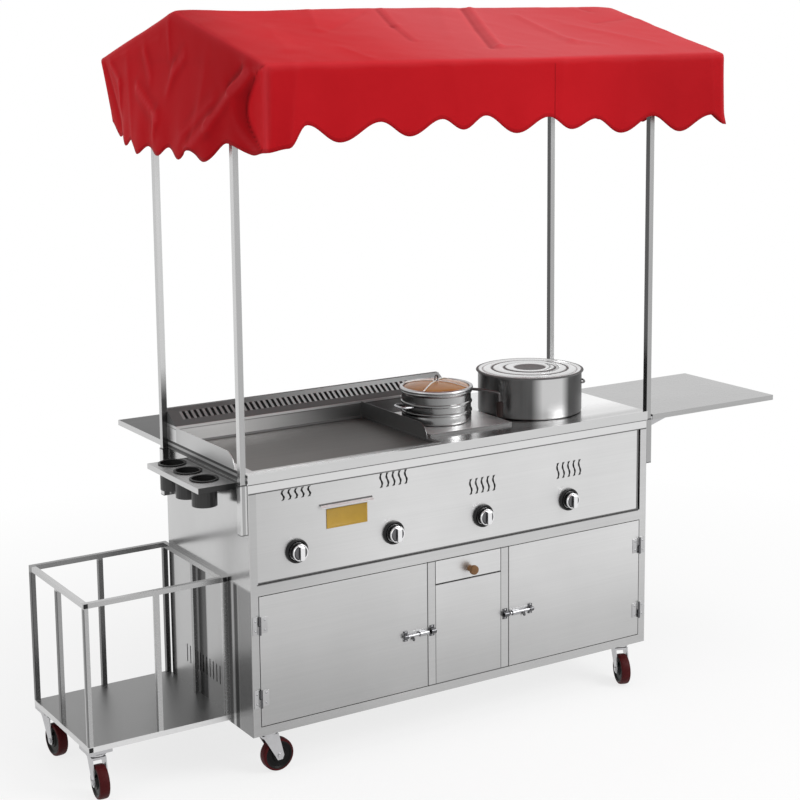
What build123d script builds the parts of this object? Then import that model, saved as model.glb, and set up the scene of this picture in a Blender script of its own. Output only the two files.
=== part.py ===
from build123d import *
import os

# Snack cart. Sizes are in millimetres, measured from the cabinet's front left corner on the floor:
# x runs right along the front, y runs back and z runs up.

# Cabinet
length = 1286
depth = 486
base = 120
top = 810
sheet = 1.5
tube = 25
pin_sides = 8
small_sides = 24
large_sides = 48
pin_gap = 0.05
frame_top = top - sheet
skirt_bottom = 785
door_low = 144
door_high = 492
panel_low = 522
panel_high = 760
stiles = (23, 533, 556, 773, 797, 1263)

# Overall reach, which centres the cart on its own origin
cage_end = -394
side_flap_end = 1779
canopy_front = -239
rear_flap_end = 813
left = -(cage_end + side_flap_end) / 2
front = -(canopy_front + rear_flap_end) / 2

# Cooking top
griddle_x = (27, 577)
griddle_y = (26, 412)
guard_top = 852
guard_round = 42
flue_front = 413
flue_end = 880
small_pot_centre = (712, 227)
big_burner_centre = (1004, 206)
big_pot_centre = (1020, 206)
hob_top = 818
hob_x = (597, 866)
hob_y = (80, 366)
burner_level = 767
tube_burner_x = (135, 425)
knob_x = (135, 425, 712, 1004)
knob_level = 593
inlet_x = 1225

# Roof
post = 16
post_reach = 17.75
post_foot = 657
post_head = 1792
post_y = (12, 474)
eave = 1830
ridge = 1959
ridge_y = 243
canopy_x = (-51, 1337)
canopy_y = (canopy_front, 725)
cloth = 3
front_hem = 1682
gable_hem = 1638
scallop_drop = 36
scallop_steps = 6
front_scallops = 8
gable_scallops = 6

# Flaps and cage
flap_top = 797
flap_edge = 15
flap_sheet = 1.2
pivot_level = 789
cage_y = (128, 508)
cage_z = (126, 514)
cage_bar = 13

# Casters: pivot x and y, direction in which the wheel trails, and height of the plate's top
wheel_radius = 44
wheel_width = 28
trail = 28
swivel_top = 117
casters = (
    (60, 42, 0, base),
    (1226, 42, 250, base),
    (60, 444, 30, base),
    (1226, 444, 330, base),
    (-362, 162, 265, cage_z[0]),
    (-362, 474, 275, cage_z[0]),
)


def level(height):
    """Horizontal sketch plane: x to the right, y to the back, extruding up."""
    return Plane((left, front, height))


def face(back):
    """Upright sketch plane along the front: x to the right, z up, extruding to the front."""
    return Plane((left, front + back, 0), x_dir=(1, 0, 0), z_dir=(0, -1, 0))


def side(reach):
    """Upright sketch plane across the cart: y to the back, z up, extruding to the right."""
    return Plane((left + reach, front, 0), x_dir=(0, 1, 0), z_dir=(1, 0, 0))


def patch(low_u, high_u, low_v, high_v, mode=Mode.ADD):
    """Rectangle between two pairs of sketch coordinates."""
    with Locations(((low_u + high_u) / 2, (low_v + high_v) / 2)):
        Rectangle(high_u - low_u, high_v - low_v, mode=mode)


def hollow_patch(low_u, high_u, low_v, high_v, wall):
    """Section of a rectangular tube."""
    patch(low_u, high_u, low_v, high_v)
    patch(low_u + wall, high_u - wall, low_v + wall, high_v - wall, Mode.SUBTRACT)


def pin_shape(radius):
    """Section of a small pin."""
    RegularPolygon(radius, pin_sides)


def pin_bore(radius):
    """Section of the hole that a pin of the given radius turns in."""
    RegularPolygon(radius + pin_gap, pin_sides, major_radius=False)


os.makedirs("parts", exist_ok=True)

# Cabinet frame: front and rear frames folded from sheet, joined by square tubes
front_openings = (
    (stiles[0], stiles[5], panel_low, panel_high),
    (stiles[0], stiles[1], door_low, door_high),
    (stiles[2], stiles[3], door_low, door_high),
    (stiles[4], stiles[5], door_low, door_high),
)
rear_openings = (
    (stiles[0], 630, door_low, 440),
    (656, stiles[5], door_low, 440),
    (stiles[0], stiles[5], door_high, panel_high),
)
side_top_rail = 745
bar_level = 745
bar_height = 6


def frame_outline(openings, margin):
    """Upright frame round its openings, thinned on every edge by the margin."""
    patch(sheet + margin, length - sheet - margin, base + margin, frame_top - margin)
    for low_x, high_x, low_z, high_z in openings:
        patch(low_x - margin, high_x + margin, low_z - margin, high_z + margin, Mode.SUBTRACT)


with BuildPart() as cabinet_frame:
    with BuildSketch(face(tube)):
        frame_outline(front_openings, 0)
    extrude(amount=tube)
    with BuildSketch(face(tube)):
        frame_outline(front_openings, sheet)
    extrude(amount=tube - sheet, mode=Mode.SUBTRACT)
    with BuildSketch(face(depth - sheet)):
        frame_outline(rear_openings, 0)
    extrude(amount=tube)
    with BuildSketch(face(depth - 2 * sheet)):
        frame_outline(rear_openings, sheet)
    extrude(amount=tube - sheet, mode=Mode.SUBTRACT)
    with BuildSketch(face(depth - sheet - tube)):
        for rail_x in (sheet, length - sheet - tube):
            hollow_patch(rail_x, rail_x + tube, base, base + tube, sheet)
            hollow_patch(rail_x, rail_x + tube, side_top_rail, frame_top, sheet)
    extrude(amount=depth - sheet - 2 * tube)
    with BuildSketch(level(bar_level)):
        for bar_y in (130, 285):
            patch(sheet + tube, length - sheet - tube, bar_y - 15, bar_y + 15)
    extrude(amount=bar_height)
    with BuildSketch(level(base)):
        for plate_x in (sheet, length - sheet - 110):
            for plate_y in (sheet, depth - sheet - 90):
                patch(plate_x, plate_x + 110, plate_y, plate_y + 88)
    extrude(amount=2 * sheet)
cabinet_frame.part.label = "cabinet_frame"
export_step(cabinet_frame.part, "parts/cabinet_frame.step")

# End panels with a row of upright vent slots near the foot
vent_count = 12
vent_pitch = 20
vent_size = (5, 50)
vent_middle = (275, 230)
for panel_name, panel_x in (("end_panel_left", 0), ("end_panel_right", length - sheet)):
    with BuildPart() as end_panel:
        with BuildSketch(side(panel_x)):
            patch(0, depth, base, frame_top)
            with Locations(vent_middle):
                with GridLocations(vent_pitch, 0, vent_count, 1):
                    Rectangle(*vent_size, mode=Mode.SUBTRACT)
        extrude(amount=sheet)
    end_panel.part.label = panel_name
    export_step(end_panel.part, f"parts/{panel_name}.step")

# Back panel with a row of vents and a hole for the gas inlet
with BuildPart() as back_panel:
    with BuildSketch(face(depth)):
        patch(sheet, length - sheet, base, frame_top)
        with Locations((length / 2, 630)):
            with GridLocations(vent_pitch, 0, vent_count, 1):
                Rectangle(*vent_size, mode=Mode.SUBTRACT)
        with Locations((inlet_x, knob_level)):
            Circle(14, mode=Mode.SUBTRACT)
    extrude(amount=sheet)
back_panel.part.label = "back_panel"
export_step(back_panel.part, "parts/back_panel.step")

# Floor of the cupboards, lying on the side rails
with BuildPart() as base_floor:
    with BuildSketch(level(base + tube)):
        patch(sheet, length - sheet, tube, depth - sheet - tube)
    extrude(amount=sheet)
base_floor.part.label = "base_floor"
export_step(base_floor.part, "parts/base_floor.step")

# Fixed panel under the drawer, a shallow pan with its edges turned back
drawer_floor = 424
with BuildPart() as centre_panel:
    with BuildSketch(face(20)):
        patch(stiles[2], stiles[3], door_low, drawer_floor)
    extrude(amount=20)
    back_face = centre_panel.faces().sort_by(Axis.Y)[-1]
    offset(amount=-sheet, openings=back_face)
centre_panel.part.label = "centre_panel"
export_step(centre_panel.part, "parts/centre_panel.step")

# Control panel: turned edges, raised bezels with stem holes, curved vents and a hood over the label's place
vent_groups = ((137, 744, 26), (428, 739, 38), (711, 679, 42), (1005, 680, 44))
panel_x = (stiles[0], 1256)
panel_z = (panel_low + 2, panel_high)
panel_return = 15
vent_step = 19
vent_width = 4
vent_curve = ((-0.5, 2), (-0.25, 2.3), (0, 0), (0.25, -2.3), (0.5, -2))
bezel_radius = 31
bezel_depth = 5
stem = 4
stem_end = 16
hood_x = (205, 361)
hood_z = 704
with BuildPart() as control_panel:
    with BuildSketch(face(panel_return)):
        patch(*panel_x, *panel_z)
    extrude(amount=panel_return)
    with BuildSketch(face(panel_return)):
        patch(panel_x[0] - 1, panel_x[1] + 1, panel_z[0] + sheet, panel_z[1] - sheet)
    extrude(amount=panel_return - sheet, mode=Mode.SUBTRACT)
    with BuildSketch(side(hood_x[0])):
        with BuildLine():
            Polyline((0, hood_z), (-11, hood_z - 9), (-11, hood_z - 11), (0, hood_z - 2), close=True)
        make_face()
    extrude(amount=hood_x[1] - hood_x[0])
    with BuildSketch(face(0)):
        for bezel_x in knob_x:
            with Locations((bezel_x, knob_level)):
                RegularPolygon(bezel_radius, small_sides)
    extrude(amount=bezel_depth)
    with BuildSketch(face(sheet)):
        for stem_x in knob_x:
            with Locations((stem_x, knob_level)):
                pin_bore(stem)
    extrude(amount=sheet + bezel_depth, mode=Mode.SUBTRACT)
    for group_x, group_z, tall in vent_groups:
        with BuildSketch(face(sheet)):
            for step in range(-2, 3):
                middle = group_x + vent_step * step
                curve = [(middle + sway, group_z + share * tall) for share, sway in vent_curve]
                left_edge = [(across - vent_width / 2, up) for across, up in curve]
                right_edge = [(across + vent_width / 2, up) for across, up in curve]
                Polygon(*left_edge, *reversed(right_edge), align=None)
        extrude(amount=sheet, mode=Mode.SUBTRACT)
control_panel.part.label = "control_panel"
export_step(control_panel.part, "parts/control_panel.step")

# Worktop with turned-down edge and openings for the griddle, the flue and two burners
with BuildPart() as worktop:
    with BuildSketch(level(skirt_bottom)):
        hollow_patch(-sheet, length + sheet, -sheet, depth + sheet, sheet)
    extrude(amount=frame_top - skirt_bottom)
    with BuildSketch(level(frame_top)):
        patch(-sheet, length + sheet, -sheet, depth + sheet)
        patch(*griddle_x, *griddle_y, Mode.SUBTRACT)
        patch(40, 540, 425, 455, Mode.SUBTRACT)
        with Locations(small_pot_centre):
            Rectangle(130, 130, mode=Mode.SUBTRACT)
        with Locations(big_burner_centre):
            Circle(115, mode=Mode.SUBTRACT)
    extrude(amount=sheet)
worktop.part.label = "worktop"
export_step(worktop.part, "parts/worktop.step")

# Griddle tray: flange on the worktop, walls down into it, a ledge for the plate and two side guards
tray_bottom = 794.5
ledge = 12
tray_inner = (griddle_x[0] + sheet, griddle_x[1] - sheet, griddle_y[0] + sheet, griddle_y[1] - sheet)
with BuildPart() as griddle_tray:
    with BuildSketch(level(top)):
        patch(-sheet, 590, 16, flue_front)
        patch(*tray_inner, Mode.SUBTRACT)
    extrude(amount=sheet)
    with BuildSketch(level(tray_bottom)):
        hollow_patch(*griddle_x, *griddle_y, sheet)
    extrude(amount=top - tray_bottom)
    with BuildSketch(level(tray_bottom)):
        hollow_patch(*griddle_x, *griddle_y, sheet + ledge)
    extrude(amount=sheet)
    for guard_x in (-sheet, griddle_x[1]):
        with BuildSketch(side(guard_x)):
            with BuildLine():
                Polyline((110 - guard_round, top), (flue_front, top), (flue_front, guard_top), (110, guard_top))
                RadiusArc((110, guard_top), (110 - guard_round, guard_top - guard_round), -guard_round)
            make_face()
        extrude(amount=sheet)
griddle_tray.part.label = "griddle_tray"
export_step(griddle_tray.part, "parts/griddle_tray.step")

# Griddle plate on the tray's ledge
plate_gap = 1
with BuildPart() as griddle_plate:
    with BuildSketch(level(tray_bottom + sheet)):
        patch(
            tray_inner[0] + plate_gap,
            tray_inner[1] - plate_gap,
            tray_inner[2] + plate_gap,
            tray_inner[3] - plate_gap,
        )
    extrude(amount=10)
griddle_plate.part.label = "griddle_plate"
export_step(griddle_plate.part, "parts/griddle_plate.step")

# Flue box along the back, open below, with a row of slots in its sloped face
flue_lip = 854
flue_top = 892
slope_back = 473
slot_count = 48
slot_pitch = 17
slope_run = slope_back - flue_front
slope_rise = flue_top - flue_lip
slot_share = 0.55
slot_plane = Plane(
    (
        left + 42 + slot_pitch * (slot_count - 1) / 2,
        front + flue_front + slot_share * slope_run,
        flue_lip + slot_share * slope_rise,
    ),
    x_dir=(1, 0, 0),
    z_dir=(0, -slope_rise, slope_run),
)
with BuildPart() as flue_box:
    with BuildSketch(side(-sheet)):
        with BuildLine():
            Polyline(
                (flue_front, top),
                (flue_front, flue_lip),
                (slope_back, flue_top),
                (depth + sheet, flue_top),
                (depth + sheet, top),
                close=True,
            )
        make_face()
    extrude(amount=flue_end + sheet)
    under = flue_box.faces().sort_by(Axis.Z)[0]
    offset(amount=-sheet, openings=under)
    with BuildSketch(slot_plane):
        with GridLocations(slot_pitch, 0, slot_count, 1):
            Rectangle(6, 28)
    extrude(amount=2 * sheet, both=True, mode=Mode.SUBTRACT)
flue_box.part.label = "flue_box"
export_step(flue_box.part, "parts/flue_box.step")

# Hob plate: a shallow lid over the small burner
with BuildPart() as hob_plate:
    with BuildSketch(level(top)):
        patch(*hob_x, *hob_y)
    extrude(amount=hob_top - top)
    under = hob_plate.faces().sort_by(Axis.Z)[0]
    offset(amount=-sheet, openings=under)
    with BuildSketch(level(top)):
        with Locations(small_pot_centre):
            Circle(60)
    extrude(amount=hob_top - top, mode=Mode.SUBTRACT)
hob_plate.part.label = "hob_plate"
export_step(hob_plate.part, "parts/hob_plate.step")

# Burners: two box-section tubes under the griddle and two round heads, each with a feed block at the front
riser_y = 44
riser_top = 735
head_level = bar_level + bar_height
head_height = 22
burner_heads = ((*small_pot_centre, 48), (*big_burner_centre, 70))
with BuildPart() as burners:
    for burner_x in tube_burner_x:
        with BuildSketch(face(395)):
            hollow_patch(burner_x - 16, burner_x + 16, head_level, burner_level + 16, 2.5)
        extrude(amount=395 - riser_y)
    for burner_x, burner_y, head_radius in burner_heads:
        with BuildSketch(level(head_level)):
            with Locations((burner_x, burner_y)):
                RegularPolygon(head_radius, small_sides)
        extrude(amount=head_height)
        with BuildSketch(face(burner_y)):
            patch(burner_x - 9, burner_x + 9, head_level, head_level + 18)
        extrude(amount=burner_y - riser_y)
    with BuildSketch(level(riser_top)):
        for burner_x in knob_x:
            patch(burner_x - 9, burner_x + 9, riser_y - 12, riser_y)
    extrude(amount=burner_level + 12 - riser_top)
burners.part.label = "burners"
export_step(burners.part, "parts/burners.step")

# Gas pipework: manifold with inlet, one valve and riser per burner, clips to the control panel
manifold_y = 57
inlet_radius = 10
spigot_radius = 8
spigot_length = 25
with BuildPart() as gas_pipework:
    with BuildSketch(side(60)):
        patch(manifold_y - 11, manifold_y + 11, knob_level - 11, knob_level + 11)
    extrude(amount=inlet_x + 11 - 60)
    with BuildSketch(face(depth + 2)):
        with Locations((inlet_x, knob_level)):
            Circle(inlet_radius)
    extrude(amount=depth + 2 - manifold_y)
    with BuildSketch(face(depth + 2 + spigot_length)):
        with Locations((inlet_x, knob_level)):
            Circle(spigot_radius)
    extrude(amount=spigot_length)
    with BuildSketch(face(manifold_y)):
        for valve_x in knob_x:
            with Locations((valve_x, knob_level)):
                RegularPolygon(14, 6)
    extrude(amount=manifold_y - 6)
    with BuildSketch(level(knob_level)):
        for valve_x in knob_x:
            with Locations((valve_x, riser_y - 6)):
                RegularPolygon(5, 6)
    extrude(amount=riser_top - knob_level)
    with BuildSketch(face(stem_end + 0.5)):
        for valve_x in knob_x:
            with Locations((valve_x, knob_level)):
                pin_bore(stem)
    extrude(amount=stem_end, mode=Mode.SUBTRACT)
    for clip_x in (280, 860):
        with BuildSketch(face(sheet + 3)):
            patch(clip_x - 10, clip_x + 10, knob_level - 20, knob_level + 20)
        extrude(amount=3)
        with BuildSketch(face(manifold_y)):
            patch(clip_x - 10, clip_x + 10, knob_level - 2, knob_level + 2)
        extrude(amount=manifold_y - sheet - 3)
gas_pipework.part.label = "gas_pipework"
export_step(gas_pipework.part, "parts/gas_pipework.step")

# Knobs: barrel with a grip blade and a stem that turns in the valve
knob_radius = 22
knob_back = -bezel_depth - 0.5
knob_depth = 20
for number, turn_x in enumerate(knob_x, 1):
    with BuildPart() as knob:
        with BuildSketch(face(stem_end)):
            with Locations((turn_x, knob_level)):
                Circle(stem)
        extrude(amount=stem_end - knob_back)
        with BuildSketch(face(knob_back)):
            with Locations((turn_x, knob_level)):
                RegularPolygon(knob_radius, small_sides)
        extrude(amount=knob_depth)
        with BuildSketch(face(knob_back - knob_depth)):
            with Locations((turn_x, knob_level)):
                Rectangle(11, 36)
        extrude(amount=11)
    knob.part.label = f"knob_{number}"
    export_step(knob.part, f"parts/knob_{number}.step")

# Drawer housing: two walls with a ledge that the drawer runs on
runner = 426
runner_sheet = 1.2
with BuildPart() as drawer_housing:
    with BuildSketch(face(depth - sheet - tube)):
        patch(stiles[2] - runner_sheet, stiles[2], drawer_floor, door_high - 1)
        patch(stiles[2], stiles[2] + 14, runner, runner + runner_sheet)
        patch(stiles[3], stiles[3] + runner_sheet, drawer_floor, door_high - 1)
        patch(stiles[3] - 14, stiles[3], runner, runner + runner_sheet)
    extrude(amount=depth - sheet - 2 * tube)
drawer_housing.part.label = "drawer_housing"
export_step(drawer_housing.part, "parts/drawer_housing.step")

# Drawer: turned-edge front with a knob, and an open box behind it
drawer_front = (558, 771, 427, 490)
drawer_box = (559.5, 769.5, 427.5, 480)
drawer_depth = 420
front_depth = 12
pull_x = 669
pull_z = 452
with BuildPart() as drawer:
    with BuildSketch(face(drawer_depth)):
        patch(*drawer_box)
    extrude(amount=drawer_depth - front_depth)
    box_top = drawer.faces().sort_by(Axis.Z)[-1]
    offset(amount=-runner_sheet, openings=box_top)
    with BuildSketch(face(front_depth)):
        hollow_patch(*drawer_front, runner_sheet)
    extrude(amount=front_depth)
    with BuildSketch(face(runner_sheet)):
        patch(*drawer_front)
    extrude(amount=runner_sheet)
    with BuildSketch(face(0)):
        with Locations((pull_x, pull_z)):
            RegularPolygon(6, pin_sides)
    extrude(amount=16)
    with BuildSketch(face(-16)):
        with Locations((pull_x, pull_z)):
            Circle(11.5)
    extrude(amount=9)
drawer.part.label = "drawer"
export_step(drawer.part, "parts/drawer.step")

# Doors, drawn as the left one: each is a pan with its edges turned in, hinges and a flat slide bolt
door_z = (146, 490)
door_thick = 18
door_gap = 2
pin_y = -4
knuckle = 3.5
pin = 1.7
hinge_z = (221, 415)
hinge_tall = 48
bolt_z = 300
bolt_y = -6.5
bar = (5, 8)
doors = (
    ("left", 1, stiles[0] + door_gap, stiles[1] - 1.5),
    ("right", -1, stiles[5] - door_gap, stiles[4] + 1.5),
)


def across(start, hand, near, far):
    """Pair of x values, low one first, at two distances from an edge towards the given hand."""
    return sorted((start + hand * near, start + hand * far))


for door_name, hand, hinge_edge, free_edge in doors:
    with BuildPart() as door:
        with BuildSketch(face(door_thick)):
            patch(*sorted((hinge_edge, free_edge)), *door_z)
        extrude(amount=door_thick)
        with BuildSketch(face(door_thick)):
            patch(*across(hinge_edge, hand, 14, abs(free_edge - hinge_edge) - 14), door_z[0] + 14, door_z[1] - 14)
        extrude(amount=sheet, mode=Mode.SUBTRACT)
        with BuildSketch(face(door_thick - sheet)):
            patch(
                *across(hinge_edge, hand, sheet, abs(free_edge - hinge_edge) - sheet),
                door_z[0] + sheet,
                door_z[1] - sheet,
            )
        extrude(amount=door_thick - 2 * sheet, mode=Mode.SUBTRACT)
    door.part.label = f"door_{door_name}"
    export_step(door.part, f"parts/door_{door_name}.step")

    pin_x = hinge_edge - hand
    with BuildPart() as hardware:
        with BuildSketch(face(0)):
            for middle in hinge_z:
                patch(*across(hinge_edge, hand, 3, 22), middle - hinge_tall / 2 + 3, middle + hinge_tall / 2 - 3)
            patch(*across(free_edge, -hand, 3, 79), bolt_z - 15, bolt_z + 15)
        extrude(amount=sheet)
        for middle in hinge_z:
            with BuildSketch(level(middle + 0.3)):
                with Locations((pin_x, pin_y)):
                    pin_shape(knuckle)
                patch(*across(pin_x, hand, 0, 6), -sheet, -0.6)
            extrude(amount=hinge_tall / 2 - 0.3)
            with BuildSketch(level(middle + 0.3)):
                with Locations((pin_x, pin_y)):
                    pin_bore(pin)
            extrude(amount=hinge_tall / 2 - 0.3, mode=Mode.SUBTRACT)
        with BuildSketch(face(-sheet)):
            patch(*across(free_edge, -hand, 7, 31), bolt_z - 8, bolt_z + 8)
            patch(*across(free_edge, -hand, 67, 77), bolt_z - 8, bolt_z + 8)
        extrude(amount=11)
        with BuildSketch(side(min(free_edge, free_edge - hand * 80))):
            with Locations((bolt_y, bolt_z)):
                Rectangle(bar[0] + 0.2, bar[1] + 0.2)
        extrude(amount=80, mode=Mode.SUBTRACT)
    hardware.part.label = f"door_{door_name}_hardware"
    export_step(hardware.part, f"parts/door_{door_name}_hardware.step")

    bar_x = across(free_edge, -hand, 0.5, 73)
    knob_reach = free_edge - hand * 49
    with BuildPart() as bolt:
        with BuildSketch(side(bar_x[0])):
            with Locations((bolt_y, bolt_z)):
                Rectangle(*bar)
        extrude(amount=bar_x[1] - bar_x[0])
        with BuildSketch(face(bolt_y - bar[0] / 2)):
            with Locations((knob_reach, bolt_z)):
                pin_shape(4)
        extrude(amount=9)
    bolt.part.label = f"bolt_{door_name}"
    export_step(bolt.part, f"parts/bolt_{door_name}.step")

# Hinge leaves with pins and bolt keepers, fixed to the front frame
with BuildPart() as frame_hardware:
    for door_name, hand, hinge_edge, free_edge in doors:
        pin_x = hinge_edge - hand
        keeper = across(free_edge, hand, 5.5, 20.5)
        with BuildSketch(face(0)):
            for middle in hinge_z:
                patch(*across(pin_x, -hand, 4, 19), middle - hinge_tall / 2, middle + hinge_tall / 2)
            patch(*keeper, bolt_z - 15, bolt_z + 15)
        extrude(amount=sheet)
        for middle in hinge_z:
            with BuildSketch(level(middle - hinge_tall / 2)):
                with Locations((pin_x, pin_y)):
                    pin_shape(knuckle)
                patch(*across(pin_x, -hand, 0, 6), -sheet, -0.6)
            extrude(amount=hinge_tall / 2)
            with BuildSketch(level(middle)):
                with Locations((pin_x, pin_y)):
                    pin_shape(pin)
            extrude(amount=hinge_tall / 2 - 1)
        with BuildSketch(face(-sheet)):
            patch(*keeper, bolt_z - 8, bolt_z + 8)
        extrude(amount=11)
        with BuildSketch(side(keeper[0])):
            with Locations((bolt_y, bolt_z)):
                Rectangle(bar[0] + 1, bar[1] + 1)
        extrude(amount=keeper[1] - keeper[0], mode=Mode.SUBTRACT)
frame_hardware.part.label = "frame_hardware"
export_step(frame_hardware.part, "parts/frame_hardware.step")

# Roof posts in sockets on the end panels
socket_wall = 1.5
socket_gap = 0.25
socket = post + 2 * (socket_wall + socket_gap)
with BuildPart() as post_sockets:
    for socket_x in (-socket, length):
        for middle in post_y:
            with BuildSketch(level(post_foot - 2)):
                hollow_patch(socket_x, socket_x + socket, middle - socket / 2, middle + socket / 2, socket_wall)
            extrude(amount=skirt_bottom - post_foot + 2)
            with BuildSketch(level(post_foot - 2)):
                patch(socket_x, socket_x + socket, middle - socket / 2, middle + socket / 2)
            extrude(amount=2)
post_sockets.part.label = "post_sockets"
export_step(post_sockets.part, "parts/post_sockets.step")

with BuildPart() as roof_posts:
    with BuildSketch(level(post_foot)):
        for post_x in (-post_reach, length + post_reach - post):
            for middle in post_y:
                hollow_patch(post_x, post_x + post, middle - post / 2, middle + post / 2, 1.2)
    extrude(amount=post_head - post_foot)
roof_posts.part.label = "roof_posts"
export_step(roof_posts.part, "parts/roof_posts.step")

# Roof frame: cross beams on the posts, eave tubes on the beams, rafters and a ridge tube
eave_gap = 5
eave_foot = post_head + post
slope = (ridge - eave) / (ridge_y - canopy_y[0])
rafter_top = ridge - 7 - slope * post / 2
with BuildPart() as roof_frame:
    with BuildSketch(face(canopy_y[1] - eave_gap)):
        for beam_x in (-post_reach, length + post_reach - post):
            hollow_patch(beam_x, beam_x + post, post_head, post_head + post, 1.2)
    extrude(amount=canopy_y[1] - canopy_y[0] - 2 * eave_gap)
    with BuildSketch(side(canopy_x[0] + eave_gap)):
        hollow_patch(canopy_y[0] + eave_gap, canopy_y[0] + eave_gap + post, eave_foot, eave_foot + post, 1.2)
        hollow_patch(canopy_y[1] - eave_gap - post, canopy_y[1] - eave_gap, eave_foot, eave_foot + post, 1.2)
        hollow_patch(ridge_y - post / 2, ridge_y + post / 2, ridge - 7 - post, ridge - 7, 1.2)
    extrude(amount=canopy_x[1] - canopy_x[0] - 2 * eave_gap)
    for rafter_x in (-post_reach + 2, length + post_reach - 14):
        for hand in (-1, 1):
            with BuildSketch(side(rafter_x)):
                with BuildLine():
                    Polyline(
                        (ridge_y + hand * post / 2, rafter_top),
                        (ridge_y + hand * 461, rafter_top - slope * (461 - post / 2)),
                        (ridge_y + hand * 461, eave_foot),
                        (ridge_y + hand * 430, eave_foot),
                        (ridge_y + hand * post / 2, rafter_top - 14),
                        close=True,
                    )
                make_face()
            extrude(amount=12)
roof_frame.part.label = "roof_frame"
export_step(roof_frame.part, "parts/roof_frame.step")

# Canopy: cloth gable roof with hanging sides; the gables' sides flare out between creases from the eave's ends
flare = 27
crease = 150
skirt_foot = 1560


def below_hem(low_u, high_u, count, notch):
    """Area under a hem of scallops between two edges, each scallop drawn in straight steps."""
    step_width = (high_u - low_u) / (count * scallop_steps)
    hem = []
    for step in range(count * scallop_steps + 1):
        share = step % scallop_steps / scallop_steps
        hem.append((low_u + step * step_width, notch - scallop_drop * 4 * share * (1 - share)))
    Polygon(*hem, (high_u, skirt_foot - 10), (low_u, skirt_foot - 10), align=None)


cloth_drop = cloth * (1 + slope**2) ** 0.5
shells = []
for inset, drop in ((0, 0), (cloth, cloth_drop)):
    low_x = canopy_x[0] + inset
    high_x = canopy_x[1] - inset
    low_y = canopy_y[0] + inset
    high_y = canopy_y[1] - inset
    edge = eave - drop + slope * inset
    with BuildPart() as shell:
        with BuildSketch(level(skirt_foot)):
            Polygon(
                (low_x, low_y),
                (high_x, low_y),
                (high_x + flare, low_y + crease),
                (high_x + flare, high_y - crease),
                (high_x, high_y),
                (low_x, high_y),
                (low_x - flare, high_y - crease),
                (low_x - flare, low_y + crease),
                align=None,
            )
        extrude(amount=edge - skirt_foot)
        with BuildSketch(face(high_y)):
            Polygon((low_x, edge), (low_x - flare, edge), (low_x - flare, skirt_foot), align=None)
            Polygon((high_x, edge), (high_x + flare, edge), (high_x + flare, skirt_foot), align=None)
        extrude(amount=high_y - low_y, mode=Mode.SUBTRACT)
        with BuildSketch(side(low_x)):
            Polygon((low_y, edge), (high_y, edge), (ridge_y, ridge - drop), align=None)
        extrude(amount=high_x - low_x)
    shells.append(shell.part)
with BuildPart() as canopy:
    add(shells[0])
    add(shells[1], mode=Mode.SUBTRACT)
    for wall_y in (canopy_y[0] + cloth, canopy_y[1] + cloth):
        with BuildSketch(face(wall_y)):
            below_hem(*canopy_x, front_scallops, front_hem)
        extrude(amount=2 * cloth, mode=Mode.SUBTRACT)
    for wall_x in (canopy_x[0] - cloth - flare, canopy_x[1] - cloth):
        with BuildSketch(side(wall_x)):
            below_hem(*canopy_y, gable_scallops, gable_hem)
        extrude(amount=2 * cloth + flare, mode=Mode.SUBTRACT)
canopy.part.label = "canopy"
export_step(canopy.part, "parts/canopy.step")

# Open cage at the left end: tray, corner and middle posts, top rail
tray_edge = 14
post_rows = (cage_y[0], (cage_y[0] + cage_y[1] - cage_bar) / 2, cage_y[1] - cage_bar)
post_columns = (cage_end, (cage_end - cage_bar) / 2, -cage_bar)
with BuildPart() as cage:
    with BuildSketch(level(cage_z[0])):
        patch(cage_end, 0, *cage_y)
    extrude(amount=tray_edge)
    tray_under = cage.faces().sort_by(Axis.Z)[0]
    offset(amount=-sheet, openings=tray_under)
    with BuildSketch(level(cage_z[0] + tray_edge)):
        for row in post_rows:
            for column in post_columns:
                if (row, column) != (post_rows[1], post_columns[1]):
                    patch(column, column + cage_bar, row, row + cage_bar)
    extrude(amount=cage_z[1] - cage_z[0] - tray_edge - cage_bar)
    with BuildSketch(level(cage_z[1] - cage_bar)):
        hollow_patch(cage_end, 0, *cage_y, cage_bar)
    extrude(amount=cage_bar)
cage.part.label = "cage"
export_step(cage.part, "parts/cage.step")

# Cup rack: a lipped shelf with three cups set into it
cup_x = -55
cup_y = (134, 230, 325)
rack_top = 780
rack_x = (-110, 0)
rack_y = (55, 362)
rack_lip = 14
cup_foot = 712
cup_radius = 33
cup_wall = 2
with BuildPart() as cup_rack:
    with BuildSketch(level(rack_top - rack_lip)):
        patch(*rack_x, *rack_y)
    extrude(amount=rack_lip)
    under = cup_rack.faces().sort_by(Axis.Z)[0]
    offset(amount=-sheet, openings=under)
    with BuildSketch(level(cup_foot)):
        for middle in cup_y:
            with Locations((cup_x, middle)):
                RegularPolygon(cup_radius, small_sides)
    extrude(amount=rack_top - sheet - cup_foot)
    with BuildSketch(level(cup_foot + cup_wall)):
        for middle in cup_y:
            with Locations((cup_x, middle)):
                RegularPolygon(cup_radius - cup_wall, small_sides)
    extrude(amount=rack_top - cup_foot, mode=Mode.SUBTRACT)
cup_rack.part.label = "cup_rack"
export_step(cup_rack.part, "parts/cup_rack.step")

# Brackets under the flaps: triangular webs on wall plates, with an eye for the flap's pin
web = 3
eye = 5
pivot_pin = 2.5
rest_gap = 0.2
flap_bottom = flap_top - flap_edge
side_pivot = 1314
rear_pivot = 504
side_bracket_y = (40, 360)
rear_bracket_x = (60, 800)


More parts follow.
